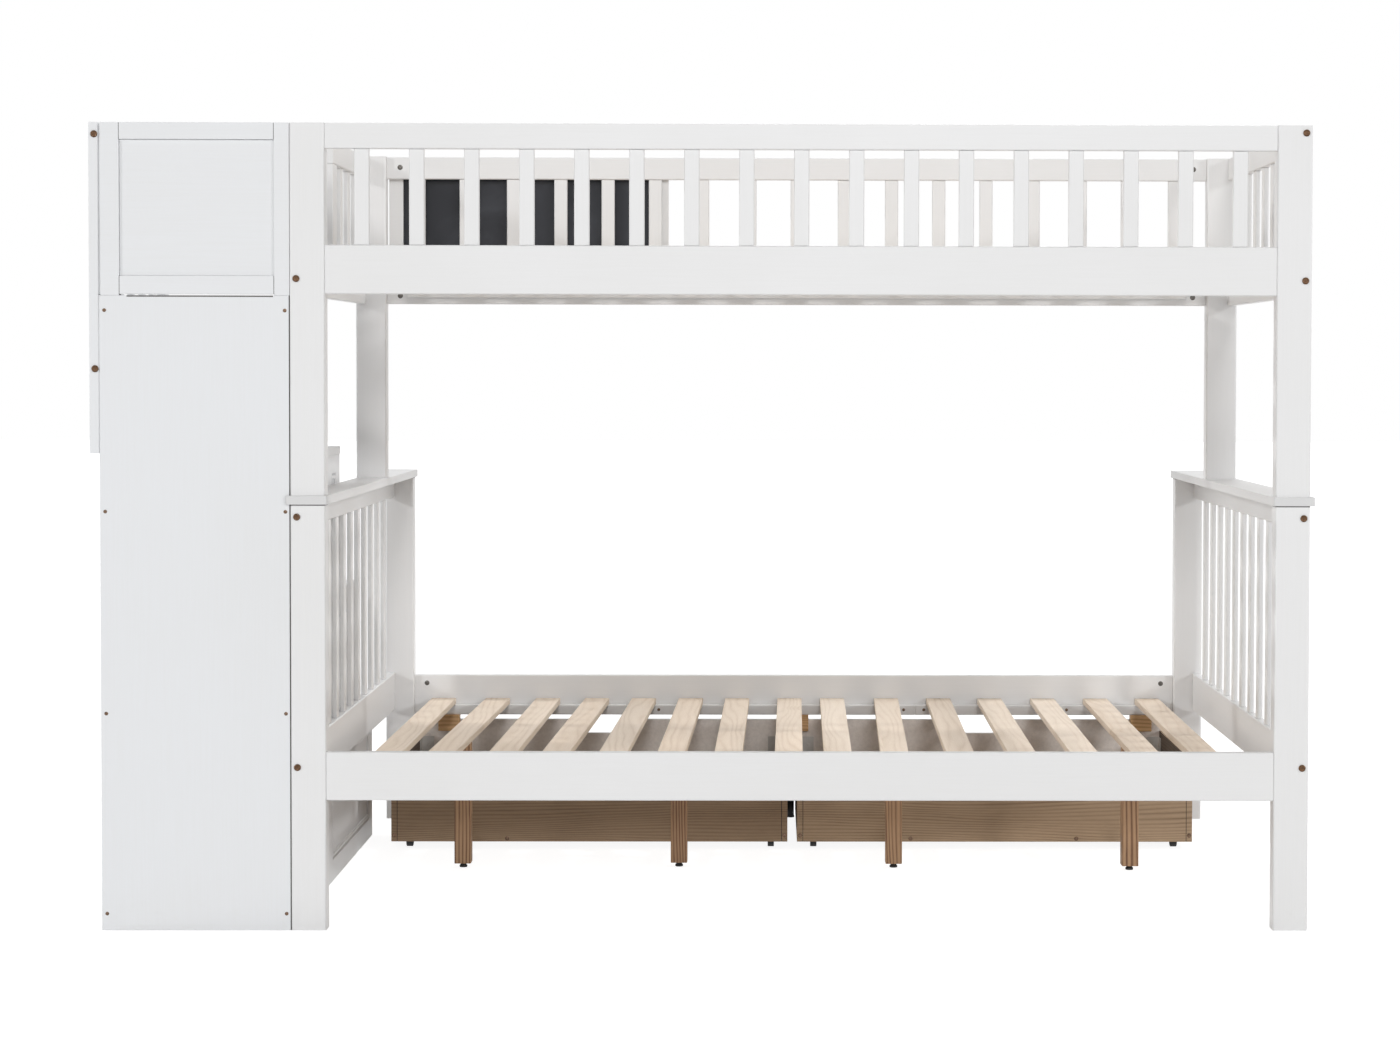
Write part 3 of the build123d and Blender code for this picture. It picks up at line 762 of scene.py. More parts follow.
class BunkTimberSettings(bpy.types.PropertyGroup):
    """Colours of the bare timber."""

    slat_light: colour_setting("Slat Light", "Early wood of the slats", (0.86, 0.735, 0.60))
    slat_dark: colour_setting("Slat Dark", "Late wood of the slats", (0.50, 0.36, 0.24))
    leg_light: colour_setting("Leg Light", "Early wood of the legs", (0.52, 0.32, 0.18))
    leg_dark: colour_setting("Leg Dark", "Late wood of the legs", (0.13, 0.06, 0.03))
    block_light: colour_setting(
        "Block Light", "Early wood of the drawer stops and runners", (0.78, 0.50, 0.26),
    )
    block_dark: colour_setting("Block Dark", "Late wood of the drawer stops and runners", (0.34, 0.17, 0.06))
    box_light: colour_setting("Drawer Light", "Early wood of the drawer boxes", (0.56, 0.40, 0.26))
    box_dark: colour_setting("Drawer Dark", "Late wood of the drawer boxes", (0.19, 0.12, 0.068))
    floor_colour: colour_setting("Drawer Floor", "Colour of the bed drawers' floors", (0.60, 0.52, 0.455))


class BunkFittingSettings(bpy.types.PropertyGroup):
    """Sizes and colours of the fittings."""

    bolt_radius: length_setting("Bolt Head Radius", "Radius of the frame bolts' heads", 0.002, 0.02, 7.5 * MM)
    bolt_edge: length_setting(
        "Bolt From Edge", "From the end posts' outer faces to the bolts", 0.005, 0.05, 14 * MM,
    )
    nut_radius: length_setting(
        "Cross Nut Radius", "Radius of the cross nuts in the side rails", 0.002, 0.02, 6.5 * MM,
    )
    nut_post: length_setting("Cross Nut From Post", "From a post to the cross nuts", 0.01, 0.1, 33 * MM)
    screw_radius: length_setting(
        "Screw Head Radius", "Radius of the panel screws' heads", 0.001, 0.01, 4 * MM,
    )
    bead_width: length_setting(
        "Bead Width", "Width of the mouldings round the sunk panels", 0.001, 0.03, 8 * MM,
    )
    bronze: colour_setting("Bronze", "Colour of the bolts", (0.62, 0.42, 0.32))
    bronze_rim: colour_setting("Bronze Rim", "Colour of the bolts' aged rims", (0.13, 0.075, 0.045))
    black: colour_setting("Black", "Colour of the moulded and powder-coated fittings", (0.018, 0.018, 0.02))
    slate: colour_setting("Slate", "Colour of the writing board", (0.009, 0.0105, 0.016))


class BunkStageSettings(bpy.types.PropertyGroup):
    """Camera, floor and lights."""

    lens: FloatProperty(
        name="Lens", description="Focal length of the camera in millimetres", min=10, max=300, default=74.76,
    )
    camera_distance: length_setting(
        "Camera Distance", "From the bed's wall side to the camera", 1, 20, 6.2477,
    )
    camera_along: length_setting("Camera Along", "From the bed's stair end to the camera", -5, 5, 1.0279)
    camera_height: length_setting("Camera Height", "Height of the camera above the floor", 0, 5, 1.2192)
    camera_down: FloatProperty(
        name="Camera Down", description="Angle that the camera looks down by",
        subtype="ANGLE", unit="ROTATION", min=-1, max=1, default=0.0308,
    )
    key: strength_setting("Key Light", "Strength of the soft light from the front left", 10, 0.72)
    fill: strength_setting("Fill Light", "Strength of the soft light from the front right", 10, 0.64)
    front: strength_setting("Front Light", "Strength of the soft light from the front", 10, 0.52)
    side: strength_setting("Side Lights", "Strength of the two lights from the sides", 10, 0.75)
    back: strength_setting("Back Light", "Strength of the soft light from behind", 10, 0.7)
    sky: strength_setting("Sky", "Strength of the even light from all round", 2, 0.32)


class BunkSettings(bpy.types.PropertyGroup):
    """All the settings of the bed."""

    paint: PointerProperty(type=BunkPaintSettings)
    timber: PointerProperty(type=BunkTimberSettings)
    fittings: PointerProperty(type=BunkFittingSettings)
    stage: PointerProperty(type=BunkStageSettings)


def settings():
    """The scene's settings for the bed."""
    return bpy.context.scene.bunk_bed


# Operators

class BUNK_OT_painted_frame(bpy.types.Operator):
    """Paint the posts, rails, guards, stair unit and drawer fronts"""

    bl_idname = "bunk.painted_frame"
    bl_label = "Painted Frame"

    def execute(self, context):
        paint = settings().paint
        edge = paint.edge_round
        bed = paint.colour
        cap_foot = low("post_cap_left").z
        # Painted shade: a dark line on the posts just under the caps, where the gap is in shade.
        shade_under_cap = ((-ANYWHERE, -ANYWHERE, cap_foot - 2.6 * MM), (ANYWHERE, ANYWHERE, cap_foot))
        dress(BED_UPRIGHT, white_paint("bed_paint_upright", "Z", paint, bed, shade_lines=[shade_under_cap]), edge)
        dress(BED_LENGTHWISE, white_paint("bed_paint_lengthwise", "X", paint, bed), edge)
        fronts = white_paint("bed_drawer_front_paint", "X", paint, bed, over=self.primed_back)
        dress(BED_DRAWER_FRONTS, fronts, edge)
        dress(BED_CROSSWISE, white_paint("bed_paint_crosswise", "Y", paint, bed), edge)
        # Painted shade: the caps get the bed paint darkened to 0.82, because they look darker in the light.
        dress(CAPS, white_paint("cap_paint", "Y", paint, [part * 0.82 for part in bed]), edge)
        for nodes in BED_END_FRAMES:
            first = nodes[0]
            lower_rail_top = low(first).z + (0 if first == "entry_guard" else 102 * MM)
            spindles = (lower_rail_top, high(first).z - 55 * MM)
            dress(nodes, white_paint(f"bed_paint_{first}", "Y", paint, bed, spindles), edge)
        stair = paint.stair_colour
        dress(STAIR_UPRIGHT, white_paint("stair_paint_upright", "Z", paint, stair), edge)
        dress(STAIR_LENGTHWISE, white_paint("stair_paint_lengthwise", "X", paint, stair), edge)
        dress(
            ["stair_back_panel"],
            white_paint("stair_paint_back", "Z", paint, stair, shade_lines=self.panel_shade_lines("stair_back_panel")), edge,
        )
        dress(
            ["back_guard"],
            white_paint("guard_paint_back", "X", paint, stair, shade_lines=self.guard_shade_lines("back_guard")), edge,
        )
        return {"FINISHED"}

    def primed_back(self, tree, position, colour):
        """The drawer fronts' inner faces, left in a beige primer."""
        primer_colour = settings().paint.primer
        normal = add(tree, "NewGeometry").outputs["True Normal"]
        inward = arithmetic(tree, "LESS_THAN", split(tree, normal)["Y"], -0.9)
        fleck = remap(tree, noise(tree, position, 90.0, detail=4.0, roughness=0.7), 0.35, 0.7)
        deep = tuple(part * 0.86 for part in primer_colour)
        primer = blend_colours(tree, fleck, (*primer_colour, 1), (*deep, 1))
        return blend_colours(tree, inward, colour, primer)

    def panel_shade_lines(self, node):
        """Painted shade along the back panel's post edge, and under the guard's bottom rail."""
        start = low(node)
        end = high(node)
        return [
            ((end.x - 1.6 * MM, -ANYWHERE, -ANYWHERE), (end.x, ANYWHERE, ANYWHERE)),
            ((start.x + 60 * MM, -ANYWHERE, end.z - 3.2 * MM), (end.x - 35 * MM, ANYWHERE, end.z)),
        ]

    def guard_shade_lines(self, node):
        """Painted shade between the guard's stiles and its rails, where the rails are set back."""
        start = low(node)
        end = high(node)
        shade_lines = []
        for x in (start.x + 40.1 * MM, end.x - 33.1 * MM):
            for z0, z1 in ((start.z, start.z + 42 * MM), (end.z - 36 * MM, end.z)):
                shade_lines.append(((x - 0.6 * MM, -ANYWHERE, z0), (x + 0.6 * MM, ANYWHERE, z1)))
        return shade_lines


class BUNK_OT_bare_timber(bpy.types.Operator):
    """Give the slats, legs, blocks and drawer boxes their timber"""

    bl_idname = "bunk.bare_timber"
    bl_label = "Bare Timber"

    def execute(self, context):
        timber = settings().timber
        leg_cell = 250 * MM
        floor_tall = 80 * MM
        half_joint = 0.9 * MM

        def leg_vector(tree, position):
            x = split(tree, position)["X"]
            number = board_number(tree, x, 0.0, leg_cell)
            return shifted_per_board(tree, grain_along(tree, position, "Z"), number)

        def box_vector(tree, position):
            normal = add(tree, "NewGeometry").outputs["True Normal"]
            sideways = arithmetic(tree, "ABSOLUTE", split(tree, normal)["X"])
            side = arithmetic(tree, "GREATER_THAN", sideways, 0.7)
            lengthwise = grain_along(tree, position, "X")
            return blend_vectors(tree, side, lengthwise, grain_along(tree, position, "Y"))

        # Drawer floors get their veneer colour; the seams and the left box get painted shade.
        def floor_and_painted_shade(tree, position, colour):
            parts = split(tree, position)
            normal = add(tree, "NewGeometry").outputs["True Normal"]
            upward = arithmetic(tree, "GREATER_THAN", split(tree, normal)["Z"], 0.5)
            below = arithmetic(tree, "LESS_THAN", parts["Z"], low("bed_drawer_box_left").z + floor_tall)
            fleck = remap(tree, noise(tree, position, 160.0, detail=4.0, roughness=0.7), 0.35, 0.7, 0.86, 1.05)
            veneer = vector_math(tree, "SCALE", tuple(timber.floor_colour))
            feed(tree, veneer.node.inputs["Scale"], fleck)
            colour = blend_colours(tree, times(tree, upward, below), colour, veneer)
            # Painted shade in the seams between each box's sides and back.
            line = seam_shades(tree, position, [
                ((x - half_joint, -ANYWHERE, -ANYWHERE), (x + half_joint, ANYWHERE, ANYWHERE))
                for box in BED_DRAWER_BOXES for x in (low(box).x + DRAWER_BOARD, high(box).x - DRAWER_BOARD)
            ])
            # Painted shade: the left box's timber is darkened, because it stands in deeper shade.
            left = arithmetic(tree, "LESS_THAN", parts["X"], high("bed_drawer_box_left").x + 10 * MM)
            shaded_left_box = blend_colours(tree, 1.0, colour, (0.76, 0.74, 0.72, 1), "MULTIPLY")
            colour = blend_colours(tree, left, colour, shaded_left_box)
            return blend_colours(tree, times(tree, line, 0.85), colour, (0.02, 0.012, 0.008, 1))

        dress(SLATS, slat_timber(), 1 * MM)
        dress(
            AMBER_BLOCKS,
            bare_timber(
                "amber_pine", lambda tree, position: grain_along(tree, position, "X"),
                timber.block_light, timber.block_dark, 0.6, 0.05, 0.8,
            ), 1 * MM,
        )
        dress(
            LEGS,
            bare_timber("leg_pine", leg_vector, timber.leg_light, timber.leg_dark, 0.6, 0.05, 1.25), 1 * MM,
        )
        dress(
            BED_DRAWER_BOXES,
            bare_timber(
                "bed_drawer_pine", box_vector, timber.box_light, timber.box_dark, 0.75, 0.06, 0.65, 0.3,
                over=floor_and_painted_shade,
            ), 0.6 * MM,
        )
        dress(
            STAIR_DRAWER_BOXES,
            bare_timber("stair_drawer_pine", box_vector, timber.box_light, timber.box_dark, 0.75, 0.06, 0.65, 0.3),
            0.6 * MM,
        )
        return {"FINISHED"}


def slat_timber():
    """Pale timber of the slats, with each slat's own figure."""
    found = bpy.data.materials.get("slat_timber")
    if found:
        return found
    timber = settings().timber
    middles = board_middles("upper_slats")
    step = (middles[-1] - middles[0]) / (len(middles) - 1)

    def slat_vector(tree, position):
        x = split(tree, position)["X"]
        number = board_number(tree, x, middles[0], step)
        return shifted_per_board(tree, grain_along(tree, position, "Y"), number)

    return bare_timber("slat_timber", slat_vector, timber.slat_light, timber.slat_dark, 0.3, 0.05, 0.32, 0.6)


class BUNK_OT_turned_slats(bpy.types.Operator):
    """Model the lower slats as they lie, each turned a little on its ledgers"""

    bl_idname = "bunk.turned_slats"
    bl_label = "Turned Slats"

    def execute(self, context):
        node = "lower_slats"
        start = low(node)
        end = high(node)
        slat = block("slat_master", (SLAT_WIDTH, end.y - start.y - 2 * MM, end.z - start.z), (0, 0, 0))
        round_edges(slat, 1.6 * MM, 3, lambda centre, run: abs(run.y) > 0.5)
        round_edges(slat, 0.6 * MM, 2, lambda centre, run: abs(centre.y) > (end.y - start.y) / 2 - 5 * MM)
        smooth(slat, 50)
        slats = []
        for x, wall_shift, room_shift in zip(board_middles(node), WALL_END_SHIFTS, ROOM_END_SHIFTS):
            turn = math.atan2((wall_shift - room_shift) * MM, end.y - start.y)
            place = Vector((x + (wall_shift + room_shift) * MM / 2, (start.y + end.y) / 2, (start.z + end.z) / 2))
            slats.append(copy_to(slat, "slat", Matrix.Translation(place) @ Matrix.Rotation(turn, 4, "Z")))
        bpy.data.objects.remove(slat)
        joined = join_all(slats, "turned_slats")
        finish_piece(joined, "frame", [slat_timber()])
        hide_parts(node)
        return {"FINISHED"}


class BUNK_OT_dark_fittings(bpy.types.Operator):
    """Finish the prop, the wheel housings and the writing board"""

    bl_idname = "bunk.dark_fittings"
    bl_label = "Prop, Housings and Writing Board"

    def execute(self, context):
        fittings = settings().fittings
        black = fittings.black
        coat = moulded_plastic("black_coat", black, [part * 2 for part in black], 900.0)
        board = moulded_plastic("slate_face", fittings.slate, [part * 1.5 for part in fittings.slate], 1900.0)
        dress(HOUSINGS, black_plastic(), 0.5 * MM)
        dress(["rail_prop"], coat, 0.8 * MM)
        dress(["slate_board"], board)
        return {"FINISHED"}


class BUNK_OT_frame_bolts(bpy.types.Operator):
    """Model the bronze bolts and put them through the posts"""

    bl_idname = "bunk.frame_bolts"
    bl_label = "Frame Bolts"

    def execute(self, context):
        fittings = settings().fittings
        radius = fittings.bolt_radius
        tall = 2.4 * MM
        head = disc("bolt_master", radius, tall, 40)
        edit(head, face_test=lambda centre, normal: normal.z > 0.9)
        bpy.ops.mesh.inset(thickness=radius * 0.18)
        bpy.ops.transform.translate(value=(0, 0, 0.5 * MM))
        bpy.ops.mesh.inset(thickness=radius * 0.22)
        bpy.ops.transform.translate(value=(0, 0, -0.5 * MM))
        leave_edit()
        round_edges(head, 0.5 * MM, 3, top_rim(tall))
        cut_away(head, disc("socket_cutter", radius * 0.3, 4 * MM, 6, 1.0 * MM))
        for face in head.data.polygons:
            off_axis = math.hypot(face.center.x, face.center.y)
            face.material_index = int(face.normal.z > 0.3 and radius * 0.2 < off_axis < radius * 0.62)
        smooth(head)
        bolts = spread_copies(head, "frame_bolts", self.places(fittings.bolt_edge))
        rim = fitting_metal("bronze_rim", fittings.bronze_rim, [part * 0.4 for part in fittings.bronze_rim], 0.6)
        worn = fitting_metal("bronze_worn", fittings.bronze, [part * 0.5 for part in fittings.bronze], 0.4)
        finish_piece(bolts, "frame", [rim, worn])
        return {"FINISHED"}

    def places(self, edge):
        """Where the bolts go: near the outer edge of each post, at its end rails' heights."""
        lower_zs = (low("post_cap_left").z - BOLT_BELOW_CAP, low("lower_end_frame_left").z + BOLT_ABOVE_END_FRAME)
        upper_zs = (
            high("guard_top_rail_wall").z - BOLT_BELOW_GUARD_TOP,
            low("upper_side_rail_wall").z + BOLT_ABOVE_SIDE_RAIL,
        )
        places = []
        for side in ("left", "right"):
            for row, facing in (("wall", "-Y"), ("room", "+Y")):
                for bunk, zs in (("lower", lower_zs), ("upper", upper_zs)):
                    post = f"{bunk}_post_{row}_{side}"
                    x = low(post).x + edge if side == "left" else high(post).x - edge
                    y = low(post).y if row == "wall" else high(post).y
                    beside_entry = post == "upper_post_wall_left"
                    for z in zs[1:] if beside_entry else zs:
                        places.append((Vector((x, y, z)), facing))
        guard = "outer_guard"
        x = low(guard).x + GUARD_BOLT_EDGE
        for drop in GUARD_BOLT_DROPS:
            for y, facing in ((low(guard).y, "-Y"), (high(guard).y, "+Y")):
                places.append((Vector((x, y, high(guard).z - drop)), facing))
        return places


class BUNK_OT_cross_nuts(bpy.types.Operator):
    """Model the cross nuts and set them in the rails' inner faces"""

    bl_idname = "bunk.cross_nuts"
    bl_label = "Cross Nuts"

    def execute(self, context):
        fittings = settings().fittings
        radius = fittings.nut_radius
        tall = 0.8 * MM
        nut = disc("nut_master", radius, tall, 32)
        round_edges(nut, 0.3 * MM, 2, top_rim(tall))
        cut_away(nut, block("slot_cutter", (radius * 3, 1.4 * MM, 1.2 * MM), (0, 0, tall)))
        cut_away(nut, disc("thread_cutter", radius * 0.42, 2 * MM, 24, 0.2 * MM))
        smooth(nut)
        nuts = spread_copies(nut, "cross_nuts", self.places(fittings.nut_post))
        metal = fitting_metal("dark_zinc", (0.16, 0.15, 0.14), (0.05, 0.045, 0.04), 0.8)
        finish_piece(nuts, "frame", [metal])
        return {"FINISHED"}

    def places(self, from_post):
        """Where the nuts go: behind each side rail's ends, one or two high."""
        places = []
        for row, facing in (("wall", "+Y"), ("room", "-Y")):
            for rail, heights in (
                (f"guard_top_rail_{row}", (29 * MM,)),
                (f"upper_side_rail_{row}", (20.5 * MM, 84.5 * MM)),
                (f"lower_side_rail_{row}", (20 * MM, 83 * MM)),
            ):
                face = low(rail).y + 22 * MM if row == "wall" else high(rail).y - 22 * MM
                for x in (low(rail).x + from_post, high(rail).x - from_post):
                    for lift in heights:
                        places.append((Vector((x, face, low(rail).z + lift)), facing))
        return places


class BUNK_OT_panel_screws(bpy.types.Operator):
    """Model the screws and drive them into the panels, ledger and drawer backs"""

    bl_idname = "bunk.panel_screws"
    bl_label = "Panel Screws"

    def execute(self, context):
        radius = settings().fittings.screw_radius
        metal = fitting_metal("dark_screw", (0.20, 0.13, 0.09), (0.05, 0.035, 0.025), 0.7)
        frame_screws = spread_copies(self.screw(radius), "panel_screws", self.frame_places())
        finish_piece(frame_screws, "frame", [metal])
        for side in ("left", "right"):
            name = f"drawer_screws_{side}"
            screws = spread_copies(self.screw(radius * 1.35), name, self.drawer_places(side))
            finish_piece(screws, f"bed_drawer_{side}", [metal])
        return {"FINISHED"}

    def screw(self, radius):
        """A low domed screw head with a cross recess."""
        tall = 0.9 * MM
        head = disc("screw_master", radius, tall, 24)
        round_edges(head, 0.5 * MM, 3, top_rim(tall))
        for size in ((radius * 1.1, radius * 0.28, 1 * MM), (radius * 0.28, radius * 1.1, 1 * MM)):
            cut_away(head, block("recess_cutter", size, (0, 0, tall)))
        smooth(head)
        return head

    def frame_places(self):
        """Screws of the stair's back panel and of the room-side ledger."""
        panel = "stair_back_panel"
        places = []
        for x in (low(panel).x + 12 * MM, high(panel).x - 10 * MM):
            for z in PANEL_SCREW_HEIGHTS:
                places.append((Vector((x, low(panel).y, z)), "-Y"))
        rail = "lower_side_rail_room"
        post = low("lower_post_wall_left").x
        for along in LEDGER_SCREWS_ALONG:
            places.append((Vector((post + along, low(rail).y, low(rail).z + 14 * MM)), "-Y"))
        return places

    def drawer_places(self, side):
        """Screws along a drawer's back and at its corners."""
        box = f"bed_drawer_box_{side}"
        y = low(box).y
        z = low(box).z
        places = [
            (Vector((low(box).x + along, y, z + 8 * MM)), "-Y") for along in DRAWER_SCREWS_ALONG[side]
        ]
        for x in (low(box).x + 7.5 * MM, high(box).x - 7.5 * MM):
            for lift in (16 * MM, 190 * MM):
                places.append((Vector((x, y, z + lift)), "-Y"))
        return places


class BUNK_OT_pocket_beads(bpy.types.Operator):
    """Fit mouldings inside the sunk panels of the stair sides, over dark strips of painted shade"""

    bl_idname = "bunk.pocket_beads"
    bl_label = "Pocket Beads"

    def execute(self, context):
        width = settings().fittings.bead_width
        sunk = 5 * MM
        gap = 1.6 * MM
        beads = []
        for node, facing in (("stair_side_inner", "+X"), ("stair_side_outer", "-X")):
            floor_x = high(node).x - sunk if facing == "+X" else low(node).x + sunk
            for y0, y1, z0, z1 in self.pockets(node, floor_x):
                # A thin dark strip under each bead paints the shade in the gaps round it.
                bead_shade_strip = self.ring(z1 - z0, y1 - y0, width + 2 * gap, 0.4 * MM)
                wide, tall = z1 - z0 - 2 * gap, y1 - y0 - 2 * gap
                bead = self.ring(wide, tall, width, 4.5 * MM)
                self.round_inside(bead, wide, tall, width)
                for piece, number in ((bead, 0), (bead_shade_strip, 1)):
                    piece.data.transform(turned_to((floor_x, (y0 + y1) / 2, (z0 + z1) / 2), facing))
                    number_faces(piece, number)
                    beads.append(piece)
        joined = join_all(beads, "pocket_beads")
        # Painted shade: near-black material of the strips under the beads.
        shadow_line = moulded_plastic("joint_filler", (0.09, 0.085, 0.08), (0.14, 0.13, 0.12), 600.0)
        finish_piece(joined, "frame", [bpy.data.materials["stair_paint_upright"], shadow_line])
        return {"FINISHED"}

    def pockets(self, node, floor_x):
        """Each sunk panel's floor: from and to along Y, bottom and top."""
        mesh = frame["nodes"][node].data
        found = []
        for face in mesh.polygons:
            if abs(face.center.x - floor_x) > TOUCH or abs(face.normal.x) < 0.9:
                continue
            corners = [mesh.vertices[n].co for n in face.vertices]
            ys = [corner.y for corner in corners]
            zs = [corner.z for corner in corners]
            box = [min(ys), max(ys), min(zs), max(zs)]
            for other in found:
                if box[0] < other[1] and other[0] < box[1] and box[2] < other[3] and other[2] < box[3]:
                    other[:] = [
                        min(box[0], other[0]), max(box[1], other[1]), min(box[2], other[2]), max(box[3], other[3]),
                    ]
                    break
            else:
                found.append(box)
        return found

    def ring(self, wide, tall, width, rise):
        """A flat frame of a width and thickness that lies round the inside of an opening."""
        select_nothing()
        bpy.ops.mesh.primitive_plane_add(size=1, location=(0, 0, 0))
        item = bpy.context.active_object
        item.scale = (wide, tall, 1)
        settle(item)
        edit(item, face_test=lambda centre, normal: True)
        bpy.ops.mesh.inset(thickness=width)
        bpy.ops.mesh.delete(type="FACE")
        bpy.ops.mesh.select_all(action="SELECT")
        push_faces(0, 0, rise)
        bpy.ops.mesh.select_all(action="SELECT")
        bpy.ops.mesh.normals_make_consistent(inside=False)
        leave_edit()
        return item

    def round_inside(self, item, wide, tall, width):
        """Round both upper edges of a moulding."""
        inner_x = wide / 2 - width + 0.1 * MM
        inner_y = tall / 2 - width + 0.1 * MM
        round_edges(
            item, 3.2 * MM, 3,
            lambda centre, run: centre.z > 4 * MM and abs(centre.x) < inner_x and abs(centre.y) < inner_y,
        )
        smooth(item)


class BUNK_OT_guard_filler(bpy.types.Operator):
    """Model the filler between the stair's back guard and its outer guard"""

    bl_idname = "bunk.guard_filler"
    bl_label = "Guard Filler"

    def execute(self, context):
        left = high("outer_guard").x
        right = low("back_guard").x
        start = low("back_guard")
        tall = high("back_guard").z - start.z - 4 * MM
        filler = block(
            "guard_filler", (right - left - 0.2 * MM, 8 * MM, tall),
            ((left + right) / 2, start.y + 8 * MM, start.z + 2 * MM + tall / 2),
        )
        round_edges(filler, 0.8 * MM, 2)
        smooth(filler)
        finish_piece(filler, "frame", [bpy.data.materials["stair_paint_upright"]])
        return {"FINISHED"}


class BUNK_OT_corner_brackets(bpy.types.Operator):
    """Model the angle brackets that hold the bed drawers' fronts to their sides"""

    bl_idname = "bunk.corner_brackets"
    bl_label = "Corner Brackets"

    def execute(self, context):
        white = moulded_plastic("white_plastic", (0.62, 0.61, 0.59), (0.5, 0.49, 0.47), 900.0)
        dark = bpy.data.materials["dark_screw"]
        clear = DRAWER_BOARD + 0.2 * MM
        for side in ("left", "right"):
            box = f"bed_drawer_box_{side}"
            y = high(box).y
            z = high(box).z - 38 * MM
            places = [
                (Vector((low(box).x + clear, y, z)), "+Z"),
                (Vector((high(box).x - clear, y, z)), "right corner"),
            ]
            brackets = spread_copies(self.bracket(), f"drawer_brackets_{side}", places)
            finish_piece(brackets, f"bed_drawer_{side}", [white, dark])
        return {"FINISHED"}

    def bracket(self):
        """An angle with a flange along +X and one along -Y, and a screw in each."""
        thick = 2.5 * MM
        long = 32 * MM
        tall = 44 * MM
        angle = block("bracket_master", (thick, thick, tall), (thick / 2, -thick / 2, 0))
        for axis, sign, push in ((0, 1, (long, 0, 0)), (1, -1, (0, -long, 0))):
            edit(angle, face_test=lambda centre, normal: normal[axis] * sign > 0.9 and centre.length < 10 * MM)
            push_faces(*push)
            leave_edit()
        round_edges(angle, 0.8 * MM, 2, lambda centre, run: abs(run.z) < 1 * MM)
        screws = []
        for point, facing in (((long * 0.6, -thick, 0), "-Y"), ((thick, -long * 0.6, 0), "+X")):
            head = disc("bracket_screw", 4 * MM, 1.2 * MM, 20)
            round_edges(head, 0.5 * MM, 2, lambda centre, run: centre.z > 1 * MM and abs(run.z) < TOUCH)
            head.data.transform(turned_to(point, facing))
            number_faces(head, 1)
            screws.append(head)
        number_faces(angle, 0)
        angle = join_all([angle, *screws], "bracket_master")
        smooth(angle)
        return angle


class BUNK_OT_levelling_feet(bpy.types.Operator):
    """Model the screw-in feet under the slat legs"""

    bl_idname = "bunk.levelling_feet"
    bl_label = "Levelling Feet"

    def execute(self, context):
        tall = high("leg_glides").z
        pad = 5.5 * MM
        foot = disc("foot_master", 9.5 * MM, pad, 32)
        round_edges(foot, 1.2 * MM, 3, lambda centre, run: abs(run.z) < TOUCH)
        edit(foot, face_test=lambda centre, normal: normal.z > 0.9 and centre.z > pad - TOUCH)
        bpy.ops.mesh.inset(thickness=3.6 * MM)
        push_faces(0, 0, 1.0 * MM)
        bpy.ops.mesh.inset(thickness=1.9 * MM)
        push_faces(0, 0, tall - pad - 1.0 * MM)
        leave_edit()
        smooth(foot)
        feet = spread_copies(foot, "levelling_feet", [(point, "+Z") for point in leg_points()])
        finish_piece(feet, "frame", [black_plastic()])
        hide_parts("leg_glides")
        return {"FINISHED"}


def leg_points():
    """Middle of each leg's foot on the floor, read from the legs' own corners."""
    corners = [v.co for v in frame["nodes"]["leg_glides"].data.vertices]
    spots = []
    for corner in corners:
        near = [spot for spot in spots if abs(spot[0].x - corner.x) < 40 * MM]
        if near:
            near[0].append(corner.copy())
        else:
            spots.append([corner.copy()])
    points = []
    for spot in spots:
        x = (min(c.x for c in spot) + max(c.x for c in spot)) / 2
        y = (min(c.y for c in spot) + max(c.y for c in spot)) / 2
        points.append(Vector((x, y, 0)))
    return points


class BUNK_OT_drawer_wheels(bpy.types.Operator):
    """Model the wheels under the bed drawers"""

    bl_idname = "bunk.drawer_wheels"
    bl_label = "Drawer Wheels"

    def execute(self, context):
        for side in ("left", "right"):
            for end in ("front", "rear"):
                node = f"{end}_wheels_{side}"
                radius = (high(node).z - low(node).z) / 2
                wide = 16 * MM
                wheel = self.wheel(radius, wide)
                y = middle(node).y
                z = middle(node).z
                places = [
                    (Vector((low(node).x, y, z)), "+X"),
                    (Vector((high(node).x - wide, y, z)), "+X"),
                ]
                pair = spread_copies(wheel, f"{end}_rollers_{side}", places)
                finish_piece(pair, f"{end}_wheel_pair_{side}", [black_plastic()])
                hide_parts(node)
        return {"FINISHED"}

    def wheel(self, radius, wide):
        """A moulded wheel with a rounded tread, sunk sides and a bored hub."""
        wheel = disc("wheel_master", radius, wide, 48)
        round_edges(wheel, 1.5 * MM, 3, lambda centre, run: abs(run.z) < TOUCH)
        for up in (1, -1):
            edit(wheel, face_test=lambda centre, normal: normal.z * up > 0.999)
            bpy.ops.mesh.inset(thickness=1.8 * MM)
            push_faces(0, 0, -up * 2.5 * MM)
            bpy.ops.mesh.inset(thickness=6 * MM)
            push_faces(0, 0, up * 2.5 * MM)
            leave_edit()
        cut_away(wheel, disc("axle_cutter", 3.05 * MM, wide * 2, 24, -wide / 2))
        smooth(wheel)
        return wheel


